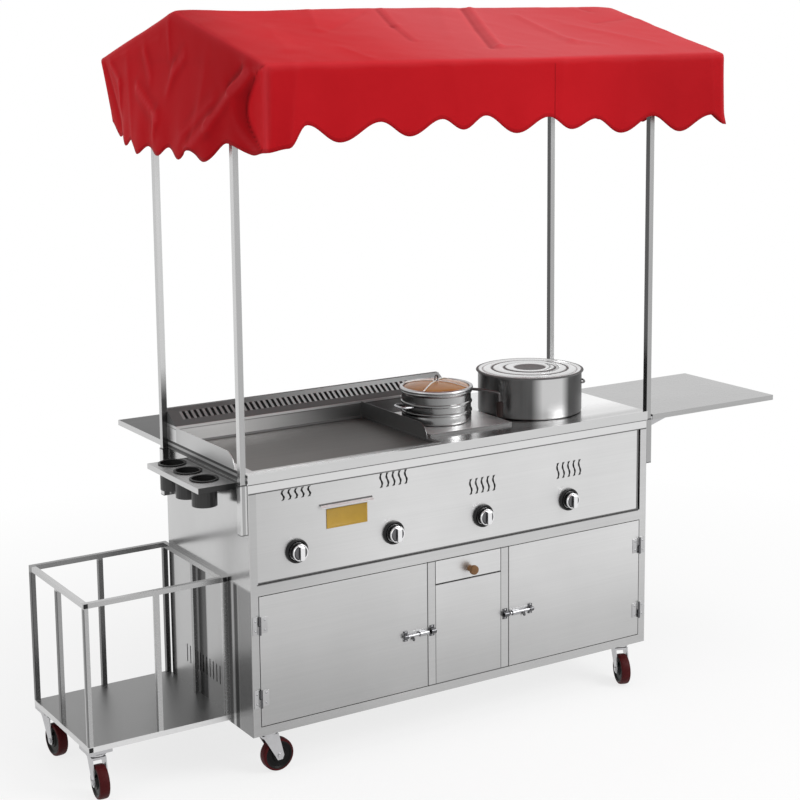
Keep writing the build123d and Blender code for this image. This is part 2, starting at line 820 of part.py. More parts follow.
def bracket_web(wall, pivot):
    """Outline of a bracket that reaches out from its wall, with a raised eye round the pivot."""
    Polygon(
        (wall, flap_bottom - 40),
        (wall + 8, flap_bottom - 40),
        (wall + 115, flap_bottom - 8),
        (wall + 115, flap_bottom - rest_gap),
        (wall, flap_bottom - rest_gap),
        align=None,
    )
    patch(pivot - eye, pivot + eye, flap_bottom - 2, pivot_level + eye - 1)
    with Locations((pivot, pivot_level)):
        RegularPolygon(pivot_pin + pin_gap, pin_sides, major_radius=False, mode=Mode.SUBTRACT)


with BuildPart() as flap_brackets:
    for middle in side_bracket_y:
        with BuildSketch(face(middle + web / 2)):
            bracket_web(length, side_pivot)
        extrude(amount=web)
        with BuildSketch(side(length)):
            patch(middle - 14, middle + 14, flap_bottom - 40, flap_bottom - rest_gap)
        extrude(amount=2)
    for middle in rear_bracket_x:
        with BuildSketch(side(middle - web / 2)):
            bracket_web(depth, rear_pivot)
        extrude(amount=web)
        with BuildSketch(face(depth + 2)):
            patch(middle - 14, middle + 14, flap_bottom - 40, flap_bottom - rest_gap)
        extrude(amount=2)
flap_brackets.part.label = "flap_brackets"
export_step(flap_brackets.part, "parts/flap_brackets.step")

# Flaps: sheet with three turned-down edges, two battens and a pin between ears at each bracket
ear = 4.5
batten = 12
side_flap_x = (side_pivot - 6, side_flap_end)
side_flap_y = (0, 400)
with BuildPart() as side_flap:
    with BuildSketch(level(flap_bottom)):
        patch(*side_flap_x, *side_flap_y)
    extrude(amount=flap_edge)
    openings = side_flap.faces().sort_by(Axis.Z)[:1] + side_flap.faces().sort_by(Axis.X)[:1]
    offset(amount=-flap_sheet, openings=openings)
    for middle in side_bracket_y:
        with BuildSketch(side(side_pivot + 20)):
            hollow_patch(middle - batten, middle + batten, flap_bottom, flap_top - flap_sheet, flap_sheet)
        extrude(amount=side_flap_end - side_pivot - 40)
        for ear_y in (middle - web / 2 - 1, middle + web / 2 + 1 + web):
            with BuildSketch(face(ear_y)):
                patch(side_pivot - ear, side_pivot + ear, pivot_level - ear, flap_top - flap_sheet)
            extrude(amount=web)
        with BuildSketch(face(middle + web / 2 + 1 + web)):
            with Locations((side_pivot, pivot_level)):
                pin_shape(pivot_pin)
        extrude(amount=3 * web + 2)
side_flap.part.label = "side_flap"
export_step(side_flap.part, "parts/side_flap.step")

rear_flap_x = (0, 860)
rear_flap_y = (rear_pivot - 6, rear_flap_end)
with BuildPart() as rear_flap:
    with BuildSketch(level(flap_bottom)):
        patch(*rear_flap_x, *rear_flap_y)
    extrude(amount=flap_edge)
    openings = rear_flap.faces().sort_by(Axis.Z)[:1] + rear_flap.faces().sort_by(Axis.Y)[:1]
    offset(amount=-flap_sheet, openings=openings)
    for middle in rear_bracket_x:
        with BuildSketch(face(rear_flap_end - 20)):
            hollow_patch(middle - batten, middle + batten, flap_bottom, flap_top - flap_sheet, flap_sheet)
        extrude(amount=rear_flap_end - rear_pivot - 40)
        for ear_x in (middle - web / 2 - 1 - web, middle + web / 2 + 1):
            with BuildSketch(side(ear_x)):
                patch(rear_pivot - ear, rear_pivot + ear, pivot_level - ear, flap_top - flap_sheet)
            extrude(amount=web)
        with BuildSketch(side(middle - web / 2 - 1 - web)):
            with Locations((rear_pivot, pivot_level)):
                pin_shape(pivot_pin)
        extrude(amount=3 * web + 2)
rear_flap.part.label = "rear_flap"
export_step(rear_flap.part, "parts/rear_flap.step")

# Casters: fixed plates with a bush, forks whose king pins swivel in the bushes, wheels on the forks' axles
king_pin = 5
crown = (100, 106)
bush_bottom = 107
axle = 4
fork_gap = 16
fork_leg = 3
with BuildPart() as caster_plates:
    for pivot_x, pivot_y, heading, plate_top in casters:
        with BuildSketch(level(swivel_top)):
            patch(pivot_x - 32, pivot_x + 32, pivot_y - 32, pivot_y + 32)
        extrude(amount=plate_top - swivel_top)
        with BuildSketch(level(bush_bottom)):
            with Locations((pivot_x, pivot_y)):
                RegularPolygon(22, 2 * pin_sides)
        extrude(amount=swivel_top - bush_bottom)
        with BuildSketch(level(bush_bottom)):
            with Locations((pivot_x, pivot_y)):
                pin_bore(king_pin)
        extrude(amount=swivel_top - bush_bottom, mode=Mode.SUBTRACT)
caster_plates.part.label = "caster_plates"
export_step(caster_plates.part, "parts/caster_plates.step")

for number, (pivot_x, pivot_y, heading, plate_top) in enumerate(casters, 1):
    ahead = Vector(1, 0, 0).rotate(Axis.Z, heading)
    swivel = Plane((left + pivot_x, front + pivot_y, 0), x_dir=ahead, z_dir=(0, 0, 1))
    sideways = Plane(swivel.origin, x_dir=swivel.x_dir, z_dir=-swivel.y_dir)
    with BuildPart() as fork:
        with BuildSketch(swivel.offset(crown[0])):
            patch(-21, 25, -fork_gap - fork_leg, fork_gap + fork_leg)
        extrude(amount=crown[1] - crown[0])
        with BuildSketch(swivel.offset(crown[1])):
            pin_shape(king_pin)
        extrude(amount=swivel_top - 1 - crown[1])
        for leg in (-fork_gap - fork_leg, fork_gap):
            with BuildSketch(sideways.offset(leg)):
                Polygon(
                    (-21, crown[1]),
                    (25, crown[1]),
                    (trail + 12, wheel_radius),
                    (trail + 7, wheel_radius - 11),
                    (trail - 7, wheel_radius - 11),
                    (trail - 13, wheel_radius),
                    align=None,
                )
            extrude(amount=fork_leg)
        with BuildSketch(sideways.offset(-fork_gap - fork_leg - 3)):
            with Locations((trail, wheel_radius)):
                RegularPolygon(7, 6)
        extrude(amount=3)
        with BuildSketch(sideways.offset(fork_gap + fork_leg)):
            with Locations((trail, wheel_radius)):
                RegularPolygon(7, 6)
        extrude(amount=3)
        with BuildSketch(sideways.offset(-fork_gap)):
            with Locations((trail, wheel_radius)):
                pin_shape(axle)
        extrude(amount=2 * fork_gap)
    fork.part.label = f"caster_fork_{number}"
    export_step(fork.part, f"parts/caster_fork_{number}.step")

    with BuildPart() as wheel:
        with BuildSketch(sideways.offset(-wheel_width / 2)):
            with Locations((trail, wheel_radius)):
                RegularPolygon(wheel_radius, large_sides)
                Circle(axle + pin_gap, mode=Mode.SUBTRACT)
        extrude(amount=wheel_width)
    wheel.part.label = f"caster_wheel_{number}"
    export_step(wheel.part, f"parts/caster_wheel_{number}.step")


def pot_plane(centre):
    """Plane for a pot's half section: distance from the axis across, z up."""
    return Plane((left + centre[0], front + centre[1], 0), x_dir=(1, 0, 0), z_dir=(0, -1, 0))


def pot_axis(centre):
    return Axis((left + centre[0], front + centre[1], 0), (0, 0, 1))


# Small pot with a loop handle, and a bent rod with a grip
pot_radius = 98
pot_rim = 908
small_wall = 3
grip_radius = 8
grip_tall = 42
rod_end = (857, 126, 868)
with BuildPart() as small_pot:
    with BuildSketch(pot_plane(small_pot_centre)):
        patch(0, pot_radius, hob_top, pot_rim)
        patch(0, pot_radius - small_wall, hob_top + small_wall, pot_rim, Mode.SUBTRACT)
    revolve(axis=pot_axis(small_pot_centre))
    with BuildLine(level(868)):
        loop = Polyline(
            (small_pot_centre[0] - pot_radius + 4, 205),
            (small_pot_centre[0] - pot_radius - 38, 211),
            (small_pot_centre[0] - pot_radius - 38, 243),
            (small_pot_centre[0] - pot_radius + 4, 249),
        )
    with BuildSketch(Plane(loop @ 0, z_dir=loop % 0)):
        pin_shape(3)
    sweep(path=loop, transition=Transition.RIGHT)
    with BuildLine(level(0)):
        reach = Polyline((803, 194, 899), (857, 126, 893), rod_end)
    with BuildSketch(Plane(reach @ 0, z_dir=reach % 0)):
        pin_shape(3)
    sweep(path=reach, transition=Transition.RIGHT)
    with BuildSketch(level(rod_end[2] - grip_tall)):
        with Locations(rod_end[:2]):
            RegularPolygon(grip_radius, 2 * pin_sides)
    extrude(amount=grip_tall)
    with BuildSketch(level(hob_top + small_wall)):
        with Locations(small_pot_centre):
            Circle(pot_radius - small_wall)
    extrude(amount=pot_rim - hob_top, mode=Mode.SUBTRACT)
small_pot.part.label = "small_pot"
export_step(small_pot.part, "parts/small_pot.step")

# Small pot's lid: steel rim with a glass disc let into it, two straps and a knob
glass_radius = 93
glass_low = pot_rim + 3
glass_high = pot_rim + 7
strap_bottom = pot_rim + 9
strap_top = strap_bottom + 2
with BuildPart() as small_pot_lid:
    with BuildSketch(level(pot_rim)):
        with Locations(small_pot_centre):
            Circle(pot_radius + 3)
            RegularPolygon(glass_radius, large_sides, mode=Mode.SUBTRACT)
    extrude(amount=strap_bottom - pot_rim)
    with BuildSketch(level(strap_bottom)):
        with Locations(small_pot_centre):
            Rectangle(2 * pot_radius, 8, rotation=35)
            Rectangle(2 * pot_radius, 8, rotation=125)
    extrude(amount=strap_top - strap_bottom)
    with BuildSketch(level(strap_top)):
        with Locations(small_pot_centre):
            pin_shape(5)
    extrude(amount=8)
    with BuildSketch(level(strap_top + 8)):
        with Locations(small_pot_centre):
            RegularPolygon(10, 2 * pin_sides)
    extrude(amount=14)
small_pot_lid.part.label = "small_pot_lid"
export_step(small_pot_lid.part, "parts/small_pot_lid.step")

with BuildPart() as small_pot_glass:
    with BuildSketch(level(glass_low)):
        with Locations(small_pot_centre):
            RegularPolygon(glass_radius, large_sides)
    extrude(amount=glass_high - glass_low)
small_pot_glass.part.label = "small_pot_glass"
export_step(small_pot_glass.part, "parts/small_pot_glass.step")

# Big pot and its stepped lid
big_radius = 149
big_rim = 928
pot_wall = 2
with BuildPart() as big_pot:
    with BuildSketch(pot_plane(big_pot_centre)):
        patch(0, big_radius, top, big_rim)
        patch(0, big_radius - pot_wall, top + pot_wall, big_rim, Mode.SUBTRACT)
    revolve(axis=pot_axis(big_pot_centre))
big_pot.part.label = "big_pot"
export_step(big_pot.part, "parts/big_pot.step")

lid_overhang = 5
lid_sheet = 1.5
lid_steps = (122, 86)
step_rise = 2
with BuildPart() as big_pot_lid:
    with BuildSketch(level(big_rim)):
        with Locations(big_pot_centre):
            Circle(big_radius + lid_overhang)
    extrude(amount=lid_sheet)
    for number, step_radius in enumerate(lid_steps):
        with BuildSketch(level(big_rim + lid_sheet + number * step_rise)):
            with Locations(big_pot_centre):
                RegularPolygon(step_radius, large_sides)
        extrude(amount=step_rise)
big_pot_lid.part.label = "big_pot_lid"
export_step(big_pot_lid.part, "parts/big_pot_lid.step")
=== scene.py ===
# %% [markdown]
# # A wheeled snack cart
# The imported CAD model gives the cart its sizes, its sheet metal and its joints. This lesson dresses it:
# every steel sheet gets a finish, and the soft, turned and rounded pieces are modelled here. The frame
# is loaded first, because each new piece is placed by it and moves with one of its bodies.

# %% Load the frame
import math

import bpy
import numpy as np
from mathutils import Matrix, Vector, noise


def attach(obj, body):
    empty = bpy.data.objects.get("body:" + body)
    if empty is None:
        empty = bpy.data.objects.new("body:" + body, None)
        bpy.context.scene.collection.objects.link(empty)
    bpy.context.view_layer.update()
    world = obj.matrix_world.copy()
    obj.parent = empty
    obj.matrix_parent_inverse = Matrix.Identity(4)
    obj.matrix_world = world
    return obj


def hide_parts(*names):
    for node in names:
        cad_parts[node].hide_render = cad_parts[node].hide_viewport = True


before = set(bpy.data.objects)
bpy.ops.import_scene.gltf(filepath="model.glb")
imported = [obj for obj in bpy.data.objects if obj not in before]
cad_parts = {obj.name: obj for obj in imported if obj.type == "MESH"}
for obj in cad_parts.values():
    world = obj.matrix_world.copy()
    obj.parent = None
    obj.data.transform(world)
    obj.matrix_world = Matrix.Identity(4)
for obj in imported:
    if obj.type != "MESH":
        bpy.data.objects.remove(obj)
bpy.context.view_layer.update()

# %% [markdown]
# Places on the cart are easiest to read in millimetres from the cabinet's front left corner on the
# floor, as a joiner would measure them. One small function turns such a place into the frame's metres.

# %% Measure from the cabinet's corner
cabinet_corner = Vector((-0.6925, -0.287, 0.0))
MM = 0.001


def at(x, y, z):
    """Place in the frame of a point measured in millimetres from the cabinet's front left corner."""
    return cabinet_corner + Vector((x, y, z)) * MM


print("worktop corner", at(0, 0, 810))

# %% [markdown]
# The camera stands in front of the cart and to its left, a little above eye height, and looks slightly
# down. A long lens keeps the posts nearly upright. Tilting it further would make them lean, so a small
# vertical shift frames the wheels and the roof together.

# %% Camera


def deselect():
    """Clears the selection, because an operator acts on all that is selected."""
    bpy.ops.object.select_all(action="DESELECT")


camera_place = (-2.6022, -4.0737, 1.9241)
camera_turn, camera_tilt, camera_lean = -0.5579, -0.1585, -0.0097
deselect()
bpy.ops.object.camera_add()
camera = bpy.context.object
camera.name = "studio_camera"
camera.data.sensor_width = 36
camera.data.lens = 78.59
camera.data.shift_y = -0.125
camera.matrix_world = (
    Matrix.Translation(camera_place)
    @ Matrix.Rotation(camera_turn, 4, "Z")
    @ Matrix.Rotation(math.pi / 2 + camera_tilt, 4, "X")
    @ Matrix.Rotation(camera_lean, 4, "Z")
)
bpy.context.scene.camera = camera
bpy.context.scene.view_settings.view_transform = "Standard"
print("camera at", camera_place)

# %% [markdown]
# The studio and every finish are node trees. Written out one node at a time, a finish would be hidden under
# its sockets, so the few nodes that come back in all of them get a short function each.

# %% Node helpers


def fill(tree, node, inputs):
    """Fills a node's sockets with values or links."""
    for socket, value in inputs.items():
        if isinstance(value, bpy.types.NodeSocket):
            tree.links.new(value, node.inputs[socket])
        else:
            node.inputs[socket].default_value = value


def add_node(tree, kind, inputs=None, **settings):
    """Adds a shader node with its settings, fills its sockets and returns its outputs."""
    node = tree.nodes.new("ShaderNode" + kind)
    for setting, value in settings.items():
        setattr(node, setting, value)
    fill(tree, node, inputs or {})
    return node.outputs


def reckon(tree, operation, *terms, clamp=False):
    """Result of a sum on numbers or masks."""
    return add_node(tree, "Math", dict(enumerate(terms)), operation=operation, use_clamp=clamp)[0]


def times(tree, first, second):
    """Product of two masks."""
    return reckon(tree, "MULTIPLY", first, second)


def ranged(tree, value, start, end, first, last, kind="LINEAR"):
    """A value carried from one range into another and held at both ends."""
    limits = {"Value": value, "From Min": start, "From Max": end, "To Min": first, "To Max": last}
    return add_node(tree, "MapRange", limits, interpolation_type=kind)[0]


def blended(tree, part, first, second):
    """A mix of two colours."""
    return add_node(tree, "Mix", {"Factor": part, "A": first, "B": second}, data_type="RGBA")["Result"]


def scaled(tree, colour, tone):
    """A colour made lighter or darker by a tone that varies over the piece."""
    return add_node(tree, "VectorMath", {0: colour, "Scale": tone}, operation="SCALE")[0]


def object_place(tree):
    """Place of a point of the surface in the frame's metres."""
    return add_node(tree, "TexCoord")["Object"]


def speckled(tree, place, scale, detail, roughness=0.5):
    """Soft noise; its scale is the number of specks in a metre."""
    sockets = {"Vector": place, "Scale": scale, "Detail": detail, "Roughness": roughness}
    return add_node(tree, "TexNoise", sockets)[0]


def embossed(tree, height, strength, distance, **below):
    """A bump from a height, laid over the bump given as Normal, if there is one."""
    return add_node(tree, "Bump", {"Strength": strength, "Distance": distance, "Height": height, **below})[0]


print("node helpers ready")

# %% [markdown]
# The studio is a white room: a white world, a pale floor and soft lamps. The world and the floor
# show full white to the camera and in reflections, while only part of it lights the cart, so the lamps
# can model the folds of the cloth. The floor stays a real surface and keeps the cart's shadow.

# %% World and floor
room_light = 0.40
floor_pale, floor_near_glow, floor_far_glow = 0.93, 0.76, 1.0
near_cart, far_from_cart = 0.7, 2.6
white = (1, 1, 1, 1)


def seen_directly(tree):
    """One for camera, glossy and transmission rays, and nought for the rays that light the cart."""
    path = add_node(tree, "LightPath")
    seen = reckon(tree, "ADD", path["Is Camera Ray"], path["Is Glossy Ray"])
    return reckon(tree, "ADD", seen, path["Is Transmission Ray"], clamp=True)


world = bpy.data.worlds.new("white_room")
bpy.context.scene.world = world
world.use_nodes = True
world_tree = world.node_tree
strength = ranged(world_tree, seen_directly(world_tree), 0, 1, room_light, 1.0)
fill(world_tree, world_tree.nodes["Background"], {"Color": white, "Strength": strength})

floor_side, floor_drop = 60, 0.0006
deselect()
bpy.ops.mesh.primitive_plane_add(size=floor_side, location=(0, 0, -floor_drop))
floor = bpy.context.object
floor.name = "studio_floor"
bpy.ops.object.transform_apply(location=True, rotation=True, scale=True)
floor_paint = bpy.data.materials.new("floor_paint")
floor_paint.use_nodes = True
floor_tree = floor_paint.node_tree
matt = floor_tree.nodes["Principled BSDF"]
pale = (floor_pale, floor_pale, floor_pale, 1)
fill(floor_tree, matt, {"Base Color": pale, "Roughness": 0.9, "Specular IOR Level": 0.1})
glow = add_node(floor_tree, "Emission", {"Color": white, "Strength": 1.0})[0]
reach = add_node(floor_tree, "VectorMath", {0: object_place(floor_tree)}, operation="LENGTH")["Value"]
whiter = ranged(floor_tree, reach, near_cart, far_from_cart, floor_near_glow, floor_far_glow)
part_glow = times(floor_tree, seen_directly(floor_tree), whiter)
both = add_node(floor_tree, "MixShader", {0: part_glow, 1: matt.outputs[0], 2: glow})[0]
fill(floor_tree, floor_tree.nodes["Material Output"], {"Surface": both})
floor.data.materials.append(floor_paint)
print("world and floor ready")

# %% [markdown]
# Three square lamps light the cart: a key lamp from the front right, a lamp from above that draws the ridge
# and the worktop, and a weak fill from the left. Large lamps give soft shadows, as a studio's soft boxes do.

# %% Lamps
lamp_target = (0, 0, 1.0)
lamps = [
    ("key_lamp", (2.6, -3.6, 3.4), 2.4, 134),
    ("top_lamp", (0.3, -0.6, 4.6), 2.6, 52),
    ("fill_lamp", (-4.0, -0.6, 2.6), 2.0, 14),
]
for name, place, side, watts in lamps:
    bpy.ops.object.light_add(type="AREA", location=place)
    lamp = bpy.context.object
    lamp.name = name
    lamp.data.shape = "RECTANGLE"
    lamp.data.size = side
    lamp.data.size_y = side
    lamp.data.energy = watts
    lamp.visible_camera = False
    lamp.rotation_mode = "QUATERNION"
    lamp.rotation_quaternion = (Vector(lamp_target) - Vector(place)).to_track_quat("-Z", "Y")
print("lamps", len(lamps))

# %% [markdown]
# Nearly the whole cart is stainless sheet. Sheet metal isn't one flat grey: rolling leaves fine lines
# along the sheet, handling leaves cloudy patches, and a thin panel is never quite flat. One recipe makes
# all of them from stretched noise, and its colour, gloss and grain direction differ from sheet to sheet.

# %% Sheet steel recipe


def new_finish(name):
    """A new material with its node tree and surface shader."""
    material = bpy.data.materials.new(name)
    material.use_nodes = True
    return material, material.node_tree, material.node_tree.nodes["Principled BSDF"]


def grey(level):
    """A neutral colour."""
    return (level, level, level)


def tinted(colour, change):
    """The colour made lighter or darker, as a socket value."""
    return tuple(min(channel * (1 + change), 1.0) for channel in colour) + (1.0,)


def steel_sheet(name, colour, gloss, grain=(2, 260, 260), streak=0.07, cloud=0.09, wave=0.35, shade_fades=()):
    """Metal with rolled lines, cloudy patches and a gentle wave; each fade is painted shade along one axis.
    """
    material, tree, surface = new_finish(name)
    place = object_place(tree)
    lines = speckled(tree, add_node(tree, "Mapping", {"Vector": place, "Scale": grain})[0], 1.0, 5.0, 0.65)
    clouds = speckled(tree, place, 3.2, 3.0, 0.55)
    tone = ranged(tree, clouds, 0, 1, 1 - cloud, 1 + cloud)
    split = add_node(tree, "SeparateXYZ", {0: place})
    for axis, start, end, darkest in shade_fades:
        tone = times(tree, tone, ranged(tree, split[axis], start, end, 1.0, darkest, "SMOOTHSTEP"))
    lined = blended(tree, lines, tinted(colour, -streak), tinted(colour, streak))
    ripple = embossed(tree, clouds, wave, 0.004)
    looks = {
        "Base Color": scaled(tree, lined, tone),
        "Roughness": ranged(tree, lines, 0, 1, gloss * 0.82, gloss * 1.2),
        "Normal": embossed(tree, lines, 0.06, 0.0004, Normal=ripple),
        "Metallic": 1.0,
    }
    fill(tree, surface, looks)
    return material


print("sheet steel recipe ready")

# %% [markdown]
# Polished steel mirrors the dark and bright sides of the room it stands in, and shade falls in the thin gaps
# where folded sheets meet. A whole room could be built round the cart for it to mirror, but that would change
# the light on every other piece. Here the finish paints these reflections and shadows into its colour itself,
# and masks measured from the cabinet's corner say where.

# %% Bands on the steel


def between(tree, value, low, high, soft):
    """A mask that is one where a value lies between two limits, with soft edges."""
    rising = ranged(tree, value, low - soft, low + soft, 0.0, 1.0)
    falling = ranged(tree, value, high - soft, high + soft, 1.0, 0.0)
    return times(tree, rising, falling)


def measured(tree, axis):
    """A place along one axis in millimetres from the cabinet's corner."""
    split = add_node(tree, "SeparateXYZ", {0: object_place(tree)})
    return times(tree, reckon(tree, "SUBTRACT", split[axis], cabinet_corner[axis]), 1 / MM)


def stretch(tree, soft=0.2, **limits):
    """A mask for a stretch of the cart, as x=(low, high) or x=(low, high, softness) in millimetres."""
    mask = None
    for axis, letter in enumerate("xyz"):
        if letter in limits:
            low, high, edge = (*limits[letter], soft)[:3]
            part = between(tree, measured(tree, axis), low, high, edge)
            mask = times(tree, mask, part) if mask else part
    return mask


def from_axis(tree, x, y):
    """Distance of a point in metres from an upright axis through a place on the cart."""
    offset = add_node(tree, "VectorMath", {0: object_place(tree), 1: at(x, y, 0)}, operation="SUBTRACT")[0]
    flat = add_node(tree, "VectorMath", {0: offset, 1: (1, 1, 0)}, operation="MULTIPLY")[0]
    return add_node(tree, "VectorMath", {0: flat}, operation="LENGTH")["Value"]


def overlay(tree, mask, colour, gloss, metal=1.0, share=1.0):
    """Changes the finish where a mask is one; a share below one lets the old colour through."""
    surface = tree.nodes["Principled BSDF"]
    old_colour = surface.inputs["Base Color"].links[0].from_socket
    old_gloss = surface.inputs["Roughness"].links[0].from_socket
    socket = surface.inputs["Metallic"]
    old_metal = socket.links[0].from_socket if socket.links else socket.default_value
    looks = {
        "Base Color": blended(tree, times(tree, mask, share), old_colour, (*colour, 1.0)),
        "Roughness": ranged(tree, mask, 0, 1, old_gloss, gloss),
        "Metallic": ranged(tree, mask, 0, 1, old_metal, metal),
    }
    fill(tree, surface, looks)


def band(material, colour, gloss, metal=1.0, share=1.0, soft=0.2, **limits):
    """Changes the finish over a stretch of the cart."""
    tree = material.node_tree
    overlay(tree, stretch(tree, soft, **limits), colour, gloss, metal, share)


def dress(material, *nodes):
    """Gives CAD nodes a finish through their own material slots."""
    for node in nodes:
        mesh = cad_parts[node].data
        mesh.materials.clear()
        mesh.materials.append(material)


print("bands ready")

# %% [markdown]
# The cabinet's front is satin sheet, a little darker on the frame than on the doors and the control panel,
# and painted shade darkens it to the left and towards the floor. The worktop is smoother and the flaps are
# darker, and painted shade makes the rear flap nearly black. The CAD has the shape of these sheets already,
# so they only get their finish.

# %% Cabinet finishes
# Painted shade: each fade darkens a sheet to the left and towards the floor.
panel_shade = [(0, -0.25, -0.69, 0.80), (2, 0.50, 0.12, 0.86)]
frame_shade = [(0, -0.25, -0.69, 0.84), (2, 0.50, 0.12, 0.84)]
door_shade = [(0, 0.45, -0.69, 0.82), (2, 0.49, 0.13, 0.72)]
panel_steel = steel_sheet("panel_steel", grey(0.66), 0.36, shade_fades=panel_shade)
frame_steel = steel_sheet("frame_steel", grey(0.56), 0.36, shade_fades=frame_shade)
door_steel = steel_sheet("door_steel", grey(0.67), 0.36, shade_fades=door_shade)
housing_steel = steel_sheet("housing_steel", grey(0.64), 0.36, shade_fades=[(2, 0.46, 0.13, 0.70)])
top_steel = steel_sheet("top_steel", grey(0.70), 0.22, streak=0.05)
hob_steel = steel_sheet("hob_steel", grey(0.80), 0.42, streak=0.06)
flap_steel = steel_sheet("flap_steel", grey(0.42), 0.28, streak=0.06)
# Painted shade: the rear flap is nearly black and darker still to the left.
shaded_rear_steel = steel_sheet("shaded_rear_steel", grey(0.09), 0.40, streak=0.08, shade_fades=[(0, -0.30, -0.69, 0.75)])
dress(panel_steel, "control_panel", "back_panel", "base_floor", "drawer_housing", "drawer")
dress(frame_steel, "cabinet_frame")
dress(door_steel, "door_left", "door_right")
dress(housing_steel, "centre_panel")
dress(top_steel, "worktop")
dress(hob_steel, "hob_plate")
dress(flap_steel, "side_flap")
dress(shaded_rear_steel, "rear_flap")
print("cabinet dressed")

# %% [markdown]
# Where two sheets meet, shade falls in a thin gap: under the worktop's lip, above and below the control
# panel, and round the fixed panel under the drawer. These gaps are too thin to model, so the finish draws
# them as painted shadow lines. Lips and folded edges, which face another way than their sheet, get painted
# light or painted shade of their own, and the worktop gets a painted highlight at its back right.

# %% Painted seam shadows and lit lips
# Painted shadow lines in the gaps between sheets.
seam_shadow, seam_gloss, seam_metal, seam_share = grey(0.04), 0.5, 0.2, 0.85
front_face, mullions, worktop_end = (-20, 40), (530, 800), (-9, 0.3)
seam_shadows = [
    (frame_steel, {"z": (782.6, 786)}),
    (frame_steel, {"z": (758, 761.6)}),
    (panel_steel, {"y": front_face, "z": (758.4, 762)}),
    (panel_steel, {"y": front_face, "z": (500, 527.5)}),
    (frame_steel, {"x": (20, 1258), "y": front_face, "z": (519.5, 522.5)}),
    (housing_steel, {"x": (550, 558)}),
    (housing_steel, {"x": (771, 780)}),
    (housing_steel, {"z": (422.6, 430)}),
    (door_steel, {"x": (530, 533), "z": (140, 495)}),
    (door_steel, {"x": (797, 800), "z": (140, 495)}),
    (panel_steel, {"x": (1250, 1258), "z": (527, 759)}),
    (hob_steel, {"y": (70, 80.6)}),
    (top_steel, {"x": worktop_end, "z": (780, 789)}),
    (frame_steel, {"x": mullions, "y": front_face, "z": (489.4, 492.6)}),
    (housing_steel, {"z": (140, 146.6)}),
    (frame_steel, {"x": mullions, "y": front_face, "z": (143.4, 146.6)}),
]
for material, limits in seam_shadows:
    band(material, seam_shadow, seam_gloss, seam_metal, seam_share, **limits)
# Painted shade under the hood's top, painted light on the rail and on the worktop's front lip, painted shade
# along the worktop's front and on its left end with a paler painted line, a painted highlight at its back
# right, and painted light on the rear flap's edge.
band(panel_steel, grey(0.10), 0.55, 0.3, y=(-4.5, -0.4), z=(690, 710))
band(frame_steel, grey(0.72), 0.36, share=0.75, y=(-9, 1), z=(762, 782))
band(top_steel, grey(0.60), 0.3, y=(-9, -0.5), z=(780, 809))
band(top_steel, grey(0.42), 0.26, share=0.7, y=(-1, 42, 14), z=(809, 812))
band(top_steel, grey(0.92), 0.3, soft=45, x=(1120, 1420), y=(130, 520), z=(700, 900))
band(top_steel, grey(0.06), 0.5, 0.4, x=worktop_end, z=(789, 812))
band(top_steel, grey(0.42), 0.5, 0.6, x=worktop_end, z=(796, 803))
band(shaded_rear_steel, grey(0.58), 0.4, x=(-9, 1.5))
print("seams drawn", len(seam_shadows))

# %% [markdown]
# The control panel's vents are pressed in groups of five as short waves. Painted shade round each cut widens
# the dark of the opening. The shade follows the wave of the cut, so the finish draws it as a sine about the
# middle line of each.

# %% Painted shade round the vents
vent_groups = ((137, 744, 26), (428, 739, 38), (711, 679, 42), (1005, 680, 44))
vent_step, vent_sway, vent_turns, vent_half = 19, 3.8, 1.15, 2.5
half_group, panel_top = 2.5 * vent_step, 758
panel_tree = panel_steel.node_tree
for group_x, group_z, tall in vent_groups:
    from_middle = reckon(panel_tree, "SUBTRACT", measured(panel_tree, 0), group_x)
    across = reckon(panel_tree, "WRAP", from_middle, vent_step / 2, -vent_step / 2)
    up = reckon(panel_tree, "SUBTRACT", measured(panel_tree, 2), group_z)
    swing = reckon(panel_tree, "SINE", times(panel_tree, up, vent_turns * math.tau / tall))
    beside = reckon(panel_tree, "ADD", across, times(panel_tree, swing, vent_sway))
    # Painted shade round each cut, along the wave of the vent.
    vent_shade_line = between(panel_tree, beside, -vent_half, vent_half, 0.4)
    reach_x = (group_x - half_group, group_x + half_group)
    reach_z = (group_z - tall / 2 - 1, min(group_z + tall / 2 + 1, panel_top))
    in_group = stretch(panel_tree, x=reach_x, y=(-0.5, 1.5), z=reach_z)
    overlay(panel_tree, times(panel_tree, vent_shade_line, in_group), grey(0.025), 0.5, 0.2, 0.94)
print("vent groups", len(vent_groups))

# %% [markdown]
# The end panels are polished like a mirror. Below the cage's rail the left one gets painted shade and painted
# reflections of the cage's uprights and the unlit side of the room, as dark upright bands with bright steel
# between them.

# %% Painted reflections on the end panels
end_steel = steel_sheet("end_steel", grey(0.53), 0.20, grain=(260, 260, 2), streak=0.06, cloud=0.10)
painted_reflection_bands = [(-20, 71, 0.5), (73, 95, 0.95), (108, 130, 0.92), (258, 306, 0.9), (456, 520, 0.88)]
left_end, below_rail = (-20, 20), (0, 508)
# Painted shade below the rail, then painted reflections as dark upright bands.
band(end_steel, grey(0.40), 0.30, share=0.35, soft=3, x=left_end, z=below_rail)
for band_low, band_high, share in painted_reflection_bands:
    band(end_steel, grey(0.03), 0.26, share=share, soft=4, x=left_end, y=(band_low, band_high), z=below_rail)
dress(end_steel, "end_panel_left", "end_panel_right")
print("end panels dressed")
